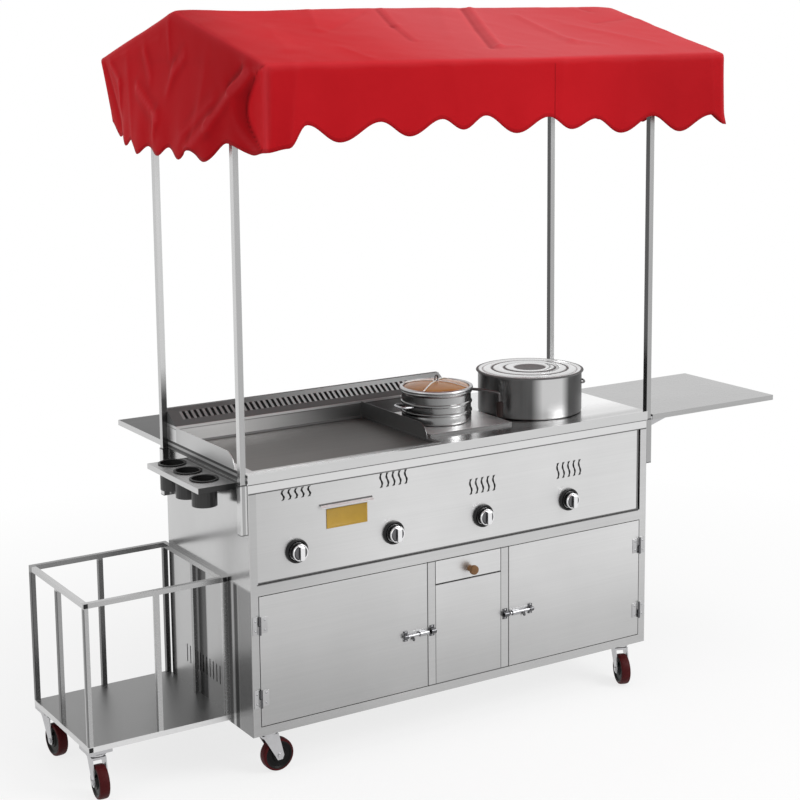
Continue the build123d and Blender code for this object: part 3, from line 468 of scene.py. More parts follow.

# %% [markdown]
# Heat and fat darken the griddle: its plate is a brownish grey, streaked along the scraper's way. Painted
# shade darkens the plate and the guards round it towards the right, and draws a dark line behind the plate.
# The flue has a painted bright lip under a dull slope, dark at its left end and with painted light further
# along, and painted shade round each slot widens its dark. Its front is bright and painted shade fades it to
# the right.

# %% Griddle and flue finishes
# Painted shade: the fades darken the plate, the guards and the flue towards the right.
plate_steel = steel_sheet(
    "plate_steel", (0.135, 0.131, 0.125), 0.5, grain=(3, 120, 120), streak=0.16, cloud=0.22, wave=0.1,
    shade_fades=[(0, -0.62, -0.20, 0.72)],
)
guard_steel = steel_sheet("guard_steel", grey(0.54), 0.42, cloud=0.14, shade_fades=[(0, -0.60, -0.16, 0.30)])
flue_steel = steel_sheet("flue_steel", grey(0.72), 0.36, cloud=0.12, shade_fades=[(0, -0.60, -0.20, 0.30)])
slot_first, slot_pitch, slot_half = 42, 17, 4.6
slope_y, slot_z = (413, 474), (866.5, 883.5)
# The slope is dark and dull. The lip gets painted light, with a painted shadow line below it, painted shade
# goes round the slots, and painted light lies further along the slope.
band(flue_steel, (0.055, 0.058, 0.058), 0.6, 0.0, 0.95, z=(854.5, 900))
band(flue_steel, grey(0.62), 0.4, share=0.8, z=(848, 854.5))
band(flue_steel, seam_shadow, seam_gloss, seam_metal, 0.6, z=(845, 847.6))
flue_tree = flue_steel.node_tree
along_slots = reckon(flue_tree, "SUBTRACT", measured(flue_tree, 0), slot_first)
from_slot = reckon(flue_tree, "WRAP", along_slots, slot_pitch / 2, -slot_pitch / 2)
slot_row = stretch(flue_tree, x=(30, 852), y=slope_y, z=slot_z)
slot_shade = times(flue_tree, between(flue_tree, from_slot, -slot_half, slot_half, 0.5), slot_row)
overlay(flue_tree, slot_row, grey(0.24), 0.7, 0.0, 0.85)
band(flue_steel, (0.54, 0.60, 0.60), 0.6, 0.0, 0.85, x=(380, 980, 220), y=slope_y, z=(866.5, 893))
overlay(flue_tree, slot_shade, grey(0.012), 0.6, 0.0)
# Painted shade in the gap behind the griddle plate.
band(guard_steel, grey(0.10), 0.6, 0.2, 0.7, x=(20, 580), y=(405, 414), z=(795, 813))
dress(plate_steel, "griddle_plate")
dress(guard_steel, "griddle_tray")
dress(flue_steel, "flue_box")
print("griddle and flue dressed")

# %% [markdown]
# Posts and cage are drawn tube. A tube's flat faces and rounded edges mirror different parts of the room, so
# one face is pale and the next nearly black. The finish paints these reflections: painted shade gives the
# right posts a dark left face and the left posts darker stretches, the cage gets painted highlights on its
# near edges, front faces and rail and painted shade on its left uprights, and its far bars fall into painted
# shade. The cage's tray is duller.

# %% Posts and cage finishes
tube_steel = steel_sheet("tube_steel", grey(0.60), 0.22, grain=(260, 260, 2), streak=0.08)
# Painted reflections and shade on the posts.
tube_shades = [
    ({"x": (-15, -6), "y": (-5, 60), "z": (600, 787)}, 0.33, 0.85),
    ({"x": (1280, 1289), "z": (600, 1795)}, 0.05, 0.92),
    ({"x": (-16.8, 0), "y": (-5, 6), "z": (787, 1800)}, 0.40, 0.9),
    ({"x": (-19, -17), "y": (440, 490)}, 0.50, 0.8),
    ({"x": (-17.2, -2), "y": (440, 467), "z": (600, 965, 45)}, 0.04, 0.92),
    ({"x": (1289, 1310)}, 0.34, 0.85),
    ({"z": (782.5, 786)}, 0.06, 0.8),
    ({"z": (650, 657.5)}, 0.06, 0.8),
    ({"x": (-1.2, 0.5), "z": (650, 786)}, 0.08, 0.7),
]
for limits, level, share in tube_shades:
    band(tube_steel, grey(level), 0.26, share=share, soft=0.8, **limits)
# Painted shade darkens the cage towards its back.
shade_to_back = [(1, -0.10, 0.21, 0.34)]
cage_steel = steel_sheet("cage_steel", grey(0.44), 0.26, grain=(260, 3, 260), streak=0.10, shade_fades=shade_to_back)
# Painted highlights and painted shade on the cage.
cage_shades = [
    ({"z": (120, 141)}, 0.26, 0.40, 1.0),
    ({"y": (120, 129), "z": (120, 141)}, 0.74, 0.36, 1.0),
    ({"x": (-400, -392.5), "z": (120, 141)}, 0.62, 0.36, 1.0),
    ({"x": (-400, -391.5), "z": (141, 500)}, 0.07, 0.3, 0.75),
    ({"y": (136.5, 141), "z": (141, 512)}, 0.70, 0.3, 0.7),
    ({"y": (480, 510), "z": (496, 520)}, 0.26, 0.3, 0.8),
    ({"x": (-400, -378), "y": (141, 485), "z": (496, 520)}, 0.56, 0.3, 0.8),
]
for limits, level, gloss, share in cage_shades:
    band(cage_steel, grey(level), gloss, share=share, soft=0.6, **limits)
dress(tube_steel, "roof_posts", "roof_frame", "post_sockets")
dress(cage_steel, "cage")
print("bands on posts", len(tube_shades), "and cage", len(cage_shades))

# %% [markdown]
# The small hardware has finishes of its own: zinc on the casters and brackets, bright steel and dark
# chrome on the fittings, a dull grey on the gas pipe and cast iron on the burners. The sheet recipe makes
# them all, with a grain that is the same in every direction, because such small pieces aren't rolled.

# %% Hardware finishes
fine_grain = (90, 90, 90)
zinc_plate = steel_sheet("zinc_plate", (0.50, 0.50, 0.51), 0.34, grain=(40, 40, 40), streak=0.14, cloud=0.18)
bright_steel = steel_sheet("bright_steel", (0.62, 0.62, 0.63), 0.12, fine_grain, 0.05)
leaf_steel = steel_sheet("leaf_steel", (0.47, 0.47, 0.475), 0.34, fine_grain, 0.06)
bolt_steel = steel_sheet("bolt_steel", (0.36, 0.36, 0.37), 0.2, fine_grain, 0.08)
dark_chrome = steel_sheet("dark_chrome", (0.11, 0.11, 0.115), 0.2, fine_grain, 0.1)
pipe_paint = steel_sheet("pipe_paint", (0.42, 0.42, 0.43), 0.42, grain=(60, 60, 60), streak=0.12)
burner_iron = steel_sheet("burner_iron", (0.05, 0.048, 0.046), 0.62, fine_grain, streak=0.3, cloud=0.3)
dress(zinc_plate, "flap_brackets", "caster_plates", *(f"caster_fork_{n}" for n in range(1, 7)))
dress(pipe_paint, "gas_pipework")
dress(burner_iron, "burners")
print("finishes on", sum(len(o.data.materials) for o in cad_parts.values()), "nodes")

# %% [markdown]
# Mouldings come next: black for bezels and cup rims, a deeper black for the wheels' sides, a dark red
# tread, and the bronze, brown and yellow of smaller pieces. A moulded or cast surface shows a fine grain and
# worn, slightly paler patches, so both colour and gloss vary. The knobs' two steels are mixed here as well.

# %% Moulded plastics


def moulding(name, colour, gloss, grain=700.0, wear_and_fold_shading=0.35, metal=0.0, shine=0.5):
    """A moulded or cast surface with fine grain and paler worn patches."""
    material, tree, surface = new_finish(name)
    place = object_place(tree)
    patches = speckled(tree, place, 26.0, 4.0, 0.6)
    looks = {
        "Base Color": blended(tree, patches, tinted(colour, -wear_and_fold_shading), tinted(colour, wear_and_fold_shading)),
        "Roughness": ranged(tree, patches, 0, 1, gloss * 0.75, gloss * 1.25),
        "Normal": embossed(tree, speckled(tree, place, grain, 2.0), 0.12, 0.0003),
        "Metallic": metal,
        "Specular IOR Level": shine,
    }
    fill(tree, surface, looks)
    return material


black_moulding = moulding("black_moulding", (0.009, 0.009, 0.0095), 0.34, shine=0.25)
wheel_black = moulding("wheel_black", grey(0.006), 0.36, shine=0.12)
tread_red = moulding("tread_red", (0.060, 0.005, 0.006), 0.5, shine=0.12)
bronze_pull = moulding("bronze_pull", (0.21, 0.11, 0.05), 0.6, grain=300.0, wear_and_fold_shading=0.3, shine=0.15)
brown_grip = moulding("brown_grip", (0.017, 0.010, 0.009), 0.5, shine=0.15)
dark_rod = moulding("dark_rod", (0.09, 0.086, 0.086), 0.36, metal=1.0)
label_yellow = moulding("label_yellow", (0.45, 0.27, 0.025), 0.4, grain=400.0, wear_and_fold_shading=0.18)
knob_grain = (200, 200, 200)
knob_bright = steel_sheet("knob_bright", (0.80, 0.80, 0.81), 0.08, knob_grain, streak=0.04, cloud=0.05)
knob_dark = steel_sheet("knob_dark", (0.13, 0.13, 0.135), 0.2, knob_grain, streak=0.1)
print("plastics ready")

# %% [markdown]
# Knobs, pots, wheels and pulls are all turned shapes. By hand they are made from one ring of points,
# which is extruded and scaled from step to step of a profile. The profile is a list of radius and height
# in millimetres, the ends are closed, and the piece is then turned on to its axis and put in its place.

# %% Turning tool
weld, crisp_angle = 0.00001, math.radians(32)


def only(piece):
    """Makes a piece the only selected and active object."""
    deselect()
    piece.select_set(True)
    bpy.context.view_layer.objects.active = piece


def named(name):
    """Names the object that an operator has just made."""
    piece = bpy.context.object
    piece.name = name
    piece.data.name = name
    return piece


def turned(name, profile, sides=64, closed=False):
    """A lathe shape about Z from (radius, height) pairs; closed joins its last ring to its first."""
    radius, height = profile[0]
    deselect()
    bpy.ops.mesh.primitive_circle_add(vertices=sides, radius=radius * MM, location=(0, 0, height * MM))
    piece = named(name)
    bpy.ops.object.transform_apply(location=True, rotation=False, scale=False)
    bpy.ops.object.mode_set(mode="EDIT")
    bpy.ops.mesh.select_all(action="SELECT")
    for next_radius, next_height in profile[1:] + (profile[:1] if closed else []):
        step = (0, 0, (next_height - height) * MM)
        bpy.ops.mesh.extrude_region_move(TRANSFORM_OT_translate={"value": step})
        scale = next_radius / radius
        bpy.ops.transform.resize(value=(scale, scale, 1), center_override=(0, 0, next_height * MM))
        radius, height = next_radius, next_height
    bpy.ops.mesh.select_all(action="SELECT")
    bpy.ops.mesh.remove_doubles(threshold=weld)
    if not closed:
        bpy.ops.mesh.select_all(action="DESELECT")
        bpy.ops.mesh.select_mode(type="EDGE")
        bpy.ops.mesh.select_non_manifold(extend=False, use_wire=False, use_multi_face=False)
        bpy.ops.mesh.fill_holes(sides=sides)
        bpy.ops.mesh.select_mode(type="VERT")
    bpy.ops.mesh.select_all(action="SELECT")
    bpy.ops.mesh.normals_make_consistent(inside=False)
    bpy.ops.object.mode_set(mode="OBJECT")
    bpy.ops.object.shade_smooth_by_angle(angle=crisp_angle)
    return piece


def put(piece, place, turn=None):
    """Turns a piece, moves it to its place and writes both into its mesh."""
    only(piece)
    piece.matrix_world = Matrix.Translation(place) @ (turn.to_4x4() if turn else Matrix.Identity(4))
    bpy.ops.object.transform_apply(location=True, rotation=True, scale=True)
    return piece


def copy_of(piece, name):
    """A copy with a mesh of its own."""
    only(piece)
    bpy.ops.object.duplicate()
    return named(name)


def copies(piece, stem, count):
    """The piece, which is the first of so many, and its numbered copies."""
    return [piece] + [copy_of(piece, f"{stem}_{number}") for number in range(2, count + 1)]


def painted(piece, material):
    """Gives a piece its finish."""
    piece.data.materials.clear()
    piece.data.materials.append(material)
    return piece


def finish_piece(piece, body, slot, *nodes):
    """Attaches a piece to its body and hides the CAD nodes that it stands for; the slot is not used."""
    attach(piece, body)
    if nodes:
        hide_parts(*nodes)
    return piece


to_front = Matrix.Rotation(math.radians(90), 3, "X")
print("turning tool ready")

# %% [markdown]
# A block with rounded edges is the other base shape: a cube at its size, with a small bevel on every edge.
# Pieces that are one casting are joined into one object, so that they move and export together.

# %% Block and join tools


def block(name, low, high, rounding=0.6, segments=2):
    """A box between two places in the frame with its edges rounded by so many millimetres."""
    low, high = Vector(low), Vector(high)
    deselect()
    bpy.ops.mesh.primitive_cube_add(size=1, location=(low + high) / 2, scale=high - low)
    piece = named(name)
    bpy.ops.object.transform_apply(location=True, rotation=True, scale=True)
    bpy.ops.object.mode_set(mode="EDIT")
    bpy.ops.mesh.select_all(action="SELECT")
    bpy.ops.mesh.bevel(offset=rounding * MM, segments=segments, affect="EDGES")
    bpy.ops.object.mode_set(mode="OBJECT")
    bpy.ops.object.shade_smooth_by_angle(angle=crisp_angle)
    return piece


def joined(name, *parts):
    """Joins pieces into one object, each keeping its own finish."""
    only(parts[0])
    for part in parts[1:]:
        part.select_set(True)
    bpy.ops.object.join()
    return named(name)


print("block tools ready")

# %% [markdown]
# Each burner knob sits in a thick black bezel. The knob has a black skirt, a bright ring round its face, a
# dark dish and a bright grip across it. The bezel stays on the panel and the knob turns, so they are separate
# pieces. Only the grip's left side is dark, with painted shade, as if it mirrored the dish.

# %% Burner knobs
knob_x, knob_z = (135, 425, 712, 1004), 593
bezel_profile = [(31.5, 0.15), (31.6, 5), (31.2, 6.6), (29.8, 7.8), (27.6, 8.2), (25, 7.6), (23.2, 6.2)]
bezel_profile += [(22.9, 0.15)]
skirt_profile = [(10, 5.6), (21.6, 5.6), (22, 6.4), (21.6, 20), (10, 20)]
ring_profile = [(17.6, 19), (21.6, 19), (22.1, 20.5), (22, 23), (21, 24.6), (19.6, 25), (18.2, 24.4)]
ring_profile += [(17.6, 23)]
core_profile = [(6, 18), (17.8, 18), (17.7, 22.8), (16.4, 25), (14, 26.4), (6, 27)]
grip_low, grip_high = (-0.0066, -0.0178, 0.016), (0.0066, 0.0178, 0.0362)
first_bezel = painted(turned("knob_bezel_1", bezel_profile, closed=True), black_moulding)
skirt = painted(turned("knob_skirt", skirt_profile), black_moulding)
ring = painted(turned("knob_ring", ring_profile, closed=True), knob_bright)
core = painted(turned("knob_core", core_profile), knob_dark)
grip = painted(block("knob_grip", grip_low, grip_high, 2.0, 3), knob_bright)
# Painted shade: the grip's left faces take the dark steel.
grip.data.materials.append(knob_dark)
for face in grip.data.polygons:
    if face.normal.x < -0.8:
        face.material_index = 1
first_knob = joined("knob_grip_1", skirt, ring, core, grip)
bezels, knobs = copies(first_bezel, "knob_bezel", 4), copies(first_knob, "knob_grip", 4)
for number, (bezel, knob, x) in enumerate(zip(bezels, knobs, knob_x), 1):
    put(bezel, at(x, 0, knob_z), to_front)
    finish_piece(bezel, "cart", "knob_chrome")
    put(knob, at(x, 0, knob_z), to_front)
    finish_piece(knob, f"knob_{number}", "knob_chrome", f"knob_{number}")
print("knobs", len(knobs))

# %% [markdown]
# The drawer opens by a small bronze pull with a slim neck and a domed head. It covers the plainer pull of
# the CAD drawer and slides out with it.

# %% Drawer pull
pull_profile = [(8.6, 0.2), (8.6, 1.6), (7.4, 3.2), (7.2, 11.0), (9.4, 14.0), (12.4, 15.4), (13.1, 18.0)]
pull_profile += [(13.0, 22.0), (12.5, 24.6), (11.6, 25.8), (9.0, 26.8), (4.0, 27.4)]
pull = put(painted(turned("drawer_pull", pull_profile, sides=48), bronze_pull), at(669, 0, 452), to_front)
finish_piece(pull, "drawer", "hardware_steel")
print("pull depth", round(pull.dimensions.y, 4))

# %% [markdown]
# Each door hangs on two butt hinges and is held by a barrel bolt. A hinge is two screwed leaves and a round
# knuckle, half of it on the door and half on the frame. One screw and one half of a knuckle are turned and
# copied, while leaves and saddles are made to the size that each place needs.

# %% Fitting pieces
to_right = Matrix.Rotation(math.radians(90), 3, "Y")
to_left = Matrix.Rotation(math.radians(-90), 3, "Y")
to_floor = Matrix.Rotation(math.radians(180), 3, "X")
hinge_rows, pin_y, bolt_z, bolt_y = (221, 415), -4, 300, -6.5
leaf_face, leaf_thick, knuckle_wrap = -1.5, 1.45, 3.0
screw_profile = [(2.6, 0), (2.6, 0.5), (2.0, 1.1), (0.8, 1.4)]
knuckle_profile = [(1, 0), (3.0, 0), (3.5, 0.5), (3.5, 23.1), (3.0, 23.6), (1, 23.6)]
one_screw = painted(turned("one_screw", screw_profile, sides=20), bolt_steel)
one_knuckle = painted(turned("one_knuckle", knuckle_profile, sides=28), dark_chrome)


def screw(x, y, z):
    """A domed screw that sits on a leaf or plate and faces the front."""
    return put(copy_of(one_screw, "screw"), at(x, y, z), to_front)


def knuckle(x, z):
    """Half of a hinge's knuckle, upwards from a height."""
    return put(copy_of(one_knuckle, "knuckle"), at(x, pin_y, z))


def leaf(x0, x1, z0, z1, material=leaf_steel, thick=leaf_thick):
    """A plate on the cabinet's front between two pairs of places."""
    low = at(min(x0, x1), leaf_face + leaf_thick - thick, z0)
    return painted(block("leaf", low, at(max(x0, x1), -0.05, z1), 0.4), material)


def saddle(x0, x1, bore, wall, material):
    """A tube round the bolt's bar with a foot above and below it."""
    start, length = min(x0, x1), abs(x1 - x0)
    outer = bore + wall
    profile = [(bore, 0), (outer - 0.4, 0), (outer, 0.5)]
    profile += [(radius, length - height) for radius, height in reversed(profile)]
    pieces = [put(turned("tube", profile, sides=32, closed=True), at(start, bolt_y, bolt_z), to_right)]
    for foot in (bolt_z - outer, bolt_z + bore + 0.3):
        foot_high = at(start + length, -1.2, foot + wall - 0.3)
        pieces.append(block("foot", at(start, bolt_y, foot), foot_high, 0.5))
    return [painted(piece, material) for piece in pieces]


print("fitting pieces ready")

# %% [markdown]
# The two doors mirror each other, so one loop makes both, and a hand of plus or minus one turns every
# distance from the hinge and from the free edge round. The bolt's bar slides in two saddles on the door
# and its handle hangs down between them. What is screwed to the frame is gathered into one piece that
# stays on the cart.

# %% Hinges and bolts
cap_profile = [(6.4, 0), (6.4, 1.2), (4.8, 3), (1, 3.8)]
bar_profile = [(1, 0), (3.3, 0), (3.9, 0.7), (3.9, 71.8), (3.3, 72.5), (1, 72.5)]
handle_profile = [(2.1, 2), (2.1, 7), (2.8, 8.6), (3.8, 11), (3.8, 13.6), (2.4, 15.8), (0.8, 16.4)]
doors = (("left", 1, 25, 531.5, to_left), ("right", -1, 1261, 798.5, to_right))
frame_pieces = []
for name, hand, hinge_edge, free_edge, end_turn in doors:
    pin_x = hinge_edge - hand
    door_pieces = [leaf(free_edge - 3 * hand, free_edge - 79 * hand, bolt_z - 10, bolt_z + 10)]
    for middle in hinge_rows:
        door_pieces += [
            leaf(hinge_edge + 3 * hand, hinge_edge + 22 * hand, middle - 21, middle + 21),
            leaf(pin_x, hinge_edge + 4 * hand, middle + 1, middle + 23, thick=knuckle_wrap),
            knuckle(pin_x, middle + 0.4),
        ]
        frame_pieces += [
            leaf(pin_x - 4 * hand, pin_x - 19 * hand, middle - 24, middle + 24),
            leaf(pin_x, pin_x - 5 * hand, middle - 23, middle - 1, thick=knuckle_wrap),
            knuckle(pin_x, middle - 24),
        ]
        for row in (middle - 13, middle + 13):
            door_pieces.append(screw(hinge_edge + 14 * hand, leaf_face, row))
            frame_pieces.append(screw(pin_x - 12 * hand, leaf_face, row))
    door_pieces += saddle(free_edge - 7 * hand, free_edge - 31 * hand, 4.3, 2.7, bolt_steel)
    door_pieces += saddle(free_edge - 67 * hand, free_edge - 77 * hand, 4.3, 2.2, dark_chrome)
    tail_plate = (free_edge - 66 * hand, free_edge - 78 * hand)
    door_pieces.append(leaf(*tail_plate, bolt_z - 14, bolt_z + 14, dark_chrome, 3.2))
    cap = painted(turned("cap", cap_profile, sides=32), dark_chrome)
    door_pieces.append(put(cap, at(free_edge - 77 * hand, bolt_y, bolt_z), end_turn))
    keeper = (free_edge + 5.5 * hand, free_edge + 20.5 * hand)
    frame_pieces += saddle(*keeper, 5.0, 2.6, dark_chrome)
    frame_pieces.append(leaf(*keeper, bolt_z - 15, bolt_z + 15, dark_chrome))
    for row in (bolt_z - 11, bolt_z + 11):
        door_pieces.append(screw(free_edge - 72 * hand, -3.2, row))
        frame_pieces.append(screw(free_edge + 13 * hand, leaf_face, row))
    fittings = joined(f"door_{name}_fittings", *door_pieces)
    finish_piece(fittings, f"door_{name}", "hardware_steel", f"door_{name}_hardware")
    bar = painted(turned("bar", bar_profile, sides=28), bolt_steel)
    put(bar, at(min(free_edge - 0.5 * hand, free_edge - 73 * hand), bolt_y, bolt_z), to_right)
    handle = painted(turned("handle", handle_profile, sides=24), dark_chrome)
    put(handle, at(free_edge - 49 * hand, bolt_y, bolt_z), to_floor)
    bolt = joined(f"barrel_bolt_{name}", bar, handle)
    finish_piece(bolt, f"bolt_{name}", "hardware_steel", f"bolt_{name}")
frame_fittings = joined("frame_fittings", *frame_pieces)
finish_piece(frame_fittings, "cart", "hardware_steel", "frame_hardware")
for spare in (one_screw, one_knuckle):
    only(spare)
    bpy.ops.object.delete()
print("fitting faces", len(frame_fittings.data.polygons))

# %% [markdown]
# The pots have their own finishes. The smaller pot is bright and painted shade darkens it to its left. The
# big drum is satin steel whose dark grey is a painted reflection, with one painted highlight as a pale
# upright band, and the drum's lid is bright with painted reflections as darker rings where it dips and at its
# rim.
# The glass lid is amber and slightly smoky. It could be clear, but the real one shows its own colour more
# than what is below it, so little light goes through.

# %% Pot steel and amber glass
small_centre, big_centre = (712, 227), (1020, 206)
# Painted shade darkens the smaller pot to its left.
shade_to_left = [(0, 0.05, -0.06, 0.36)]
pot_mirror = steel_sheet("pot_mirror", grey(0.47), 0.2, (140, 140, 6), 0.08, 0.12, shade_fades=shade_to_left)
# Painted reflection: the drum's dark grey stands in for the dark room its polished wall mirrors.
dark_mirror = steel_sheet("dark_mirror", grey(0.105), 0.36, (140, 140, 5), 0.12, 0.15)
# Painted highlight: one pale upright band on the drum's front.
band(dark_mirror, grey(0.58), 0.32, soft=14, x=(950, 1036), y=(0, 206))
lid_bright = steel_sheet("lid_bright", grey(0.66), 0.16, grain=(60, 60, 60), streak=0.05)
lid_tree = lid_bright.node_tree
# Painted reflections: dark rings where the lid dips and at its rim, and one mid-grey ring.
lid_reflection_rings = [(0, 46, 0.17), (70, 77, 0.06), (105, 112, 0.07), (134, 137, 0.35), (147, 160, 0.10)]
ring_soft = 0.0025
from_lid_middle = from_axis(lid_tree, *big_centre)
for ring_low, ring_high, level in lid_reflection_rings:
    ring_mask = between(lid_tree, from_lid_middle, ring_low * MM, ring_high * MM, ring_soft)
    overlay(lid_tree, ring_mask, grey(level), 0.7, 0.0)
strap_pale = steel_sheet("strap_pale", (0.78, 0.76, 0.72), 0.3, fine_grain, 0.05)
amber_glass, glass_tree, glass = new_finish("amber_glass")
smoke = speckled(glass_tree, object_place(glass_tree), 22.0, 3.0)
amber = blended(glass_tree, smoke, (0.46, 0.20, 0.06, 1), (0.62, 0.33, 0.13, 1))
fill(glass_tree, glass, {"Base Color": amber, "Roughness": 0.2, "Transmission Weight": 0.12, "IOR": 1.25})
print("pot finishes ready")

# %% [markdown]
# Handles, straps and ears are bent from round rod. A smooth curve led by a few places, with a round bevel,
# is the quickest way to bend one, and it is made a mesh at once so that it can be joined to its pot.

# %% Bent rods
rod_angle = math.radians(40)


def rod(name, points, radius, material):
    """A round rod along a smooth line led by places measured from the cabinet's corner."""
    deselect()
    bpy.ops.curve.primitive_nurbs_path_add()
    piece = named(name)
    spline = piece.data.splines[0]
    spline.points.add(max(0, len(points) - len(spline.points)))
    for point, place in zip(spline.points, points):
        point.co = (*at(*place), 1.0)
    spline.order_u = 3
    spline.use_endpoint_u = True
    piece.data.bevel_depth = radius * MM
    piece.data.bevel_resolution = 4
    piece.data.use_fill_caps = True
    bpy.ops.object.convert(target="MESH")
    bpy.ops.object.mode_set(mode="EDIT")
    bpy.ops.mesh.select_all(action="SELECT")
    bpy.ops.mesh.remove_doubles(threshold=weld)
    bpy.ops.mesh.normals_make_consistent(inside=False)
    bpy.ops.object.mode_set(mode="OBJECT")
    bpy.ops.object.shade_smooth_by_angle(angle=rod_angle)
    return painted(bpy.context.object, material)


def around(centre, radius, degrees, z):
    """A place at a radius and an angle round an upright axis."""
    turn = math.radians(degrees)
    return (centre[0] + radius * math.cos(turn), centre[1] + radius * math.sin(turn), z)


print("rod tool ready")

# %% [markdown]
# The smaller pot is a stack of three steel rings with rolled edges. A wire loop is its left handle, and on
# the right a bent rod carries a brown grip. One turned profile makes the stack with all its beads.

# %% Small pot
small_wall = [(3, 818.3), (92.5, 818.3), (96.3, 819.5), (98.2, 822), (98.2, 838), (96.4, 841), (96.4, 843)]
small_wall += [(99.6, 845), (100.4, 848), (99.6, 851), (97.2, 852.5), (97.2, 868), (99.6, 870), (100.4, 873)]
small_wall += [(99.6, 876), (97, 878), (97, 897), (99.6, 900), (101.2, 904), (100.4, 907.4), (95.4, 907.4)]
small_wall += [(95, 824), (3, 823)]
small_body = put(painted(turned("small_pot_wall", small_wall, sides=96), pot_mirror), at(*small_centre, 0))
loop_x = small_centre[0] - 98
loop_points = [(loop_x + 6, 203, 868), (loop_x - 16, 204, 869), (loop_x - 29, 208, 869)]
loop_points += [(loop_x - 31, 227, 869), (loop_x - 29, 246, 869), (loop_x - 16, 250, 869)]
loop_points += [(loop_x + 6, 251, 868)]
loop_handle = rod("small_pot_loop", loop_points, 4.0, bolt_steel)
grip_place = (857, 126)
arm_points = [(796, 200, 900), (820, 172, 900), (842, 144, 897), (856, 127, 894)]
arm_points += [(*grip_place, 884), (*grip_place, 862)]
arm = rod("small_pot_arm", arm_points, 4.2, dark_rod)
grip_profile = [(5, 824.5), (8.6, 825.5), (9.6, 829), (9.2, 846), (9.8, 860), (9, 867.5), (5.5, 869)]
arm_grip = painted(turned("small_pot_grip", grip_profile, sides=32), brown_grip)
put(arm_grip, at(*grip_place, 0))
small_pot = joined("small_steamer", small_body, loop_handle, arm, arm_grip)
finish_piece(small_pot, "small_pot", "pot_steel", "small_pot")
print("small pot faces", len(small_pot.data.polygons))

# %% [markdown]
# Its lid is a low dome of glass held by a steel ring, with four straps that run over the dome to a small loop
# on top. Glass and steel are separate pieces that ride together, because each has its own finish.

# %% Small lid
dome = [(92.4, 912), (88, 915.2), (78, 918.6), (64, 922), (46, 925), (26, 927), (4, 927.8)]
glass_profile = [(4, 910.6), (90, 910.6)] + dome
rim_of_lid = [(92.8, 909.2), (99.6, 908), (102, 909.4), (102.8, 912), (101.8, 915.4), (98.6, 917.2)]
rim_of_lid += [(94.8, 916.8), (92.8, 914.2)]
boss_profile = [(9, 927), (9, 929), (6, 930.6), (2, 931)]
strap_angles, strap_lift, strap_radius = (35, 125, 215, 305), 1.6, 2.1
small_axis = at(*small_centre, 0)
small_glass = put(painted(turned("small_lid_glass", glass_profile, sides=96), amber_glass), small_axis)
finish_piece(small_glass, "small_lid", "lid_glass", "small_pot_glass")
lid_steel = [put(painted(turned("small_lid_rim", rim_of_lid, sides=96, closed=True), leaf_steel), small_axis)]
for number, angle in enumerate(strap_angles):
    strap_line = [around(small_centre, radius, angle, z + strap_lift) for radius, z in [(97, 915)] + dome[1:]]
    lid_steel.append(rod(f"small_lid_strap_{number}", strap_line, strap_radius, strap_pale))
deselect()
bpy.ops.mesh.primitive_torus_add(
    major_radius=8.6 * MM, minor_radius=2.1 * MM, major_segments=32, minor_segments=10,
    location=at(*small_centre, 935), rotation=(math.radians(90), 0, math.radians(30)),
)
lid_loop = painted(named("small_lid_loop"), dark_rod)
bpy.ops.object.transform_apply(location=True, rotation=True, scale=True)
bpy.ops.object.shade_smooth()
lid_boss = put(painted(turned("small_lid_boss", boss_profile, sides=32), bright_steel), small_axis)
small_lid = joined("small_lid_steel", *lid_steel, lid_loop, lid_boss)
finish_piece(small_lid, "small_lid", "pot_steel", "small_pot_lid")
print("small lid faces", len(small_lid.data.polygons))

# %% [markdown]
# The bigger pot is a straight satin drum with a rounded foot and a small ear at its front right. Its lid
# overhangs it and is pressed into concentric ridges, on which the finish paints bright and dark rings as
# painted reflections. The ridges are steps of the turned profile, so they also show from the side.

# %% Big pot and lid
big_wall = [(3, 810.3), (140, 810.3), (146, 811.6), (148.8, 815), (149.2, 820), (149.2, 922), (150.6, 925)]
big_wall += [(150.4, 927.6), (146.8, 927.6), (146.8, 816), (143, 813.6), (3, 813)]
big_axis = at(*big_centre, 0)
big_body = put(painted(turned("big_pot_wall", big_wall, sides=128), dark_mirror), big_axis)
ear_z, ear_radius = 894, 3.0
ear_line = [(-42, 146), (-41, 154), (-36, 157.5), (-28, 157.5), (-23, 154), (-22, 146)]
ear_points = [around(big_centre, out, degrees, ear_z) for degrees, out in ear_line]
big_pot = joined("big_drum", big_body, rod("big_pot_ear", ear_points, ear_radius, dark_rod))
finish_piece(big_pot, "big_pot", "pot_steel", "big_pot")
lid_profile = [(3, 928.2), (152, 928.2), (154, 928.6), (154.8, 930), (154, 931.8), (151, 932.8), (143, 932.6)]
lid_profile += [(139, 930.9), (135.5, 930.8), (132, 932.2), (124, 934.4), (116, 934.8), (111, 933.2)]
lid_profile += [(107.5, 933), (104, 934.4), (95, 936.2), (86, 936.4), (81, 934.8), (77, 934.6), (73, 936)]
lid_profile += [(64, 937), (52, 937.2), (46, 935.6), (40, 934.8), (22, 934.6), (3, 934.6)]
big_lid = put(painted(turned("big_lid_rings", lid_profile, sides=128), lid_bright), big_axis)
finish_piece(big_lid, "big_lid", "pot_steel", "big_pot_lid")
print("big lid across", round(big_lid.dimensions.x, 4))

# %% [markdown]
# Six swivel casters carry the cart and its cage. Each wheel has black sides with a dished web and a dark
# red tread with rounded shoulders. Sides and tread are turned and joined, then set on the axle's direction.

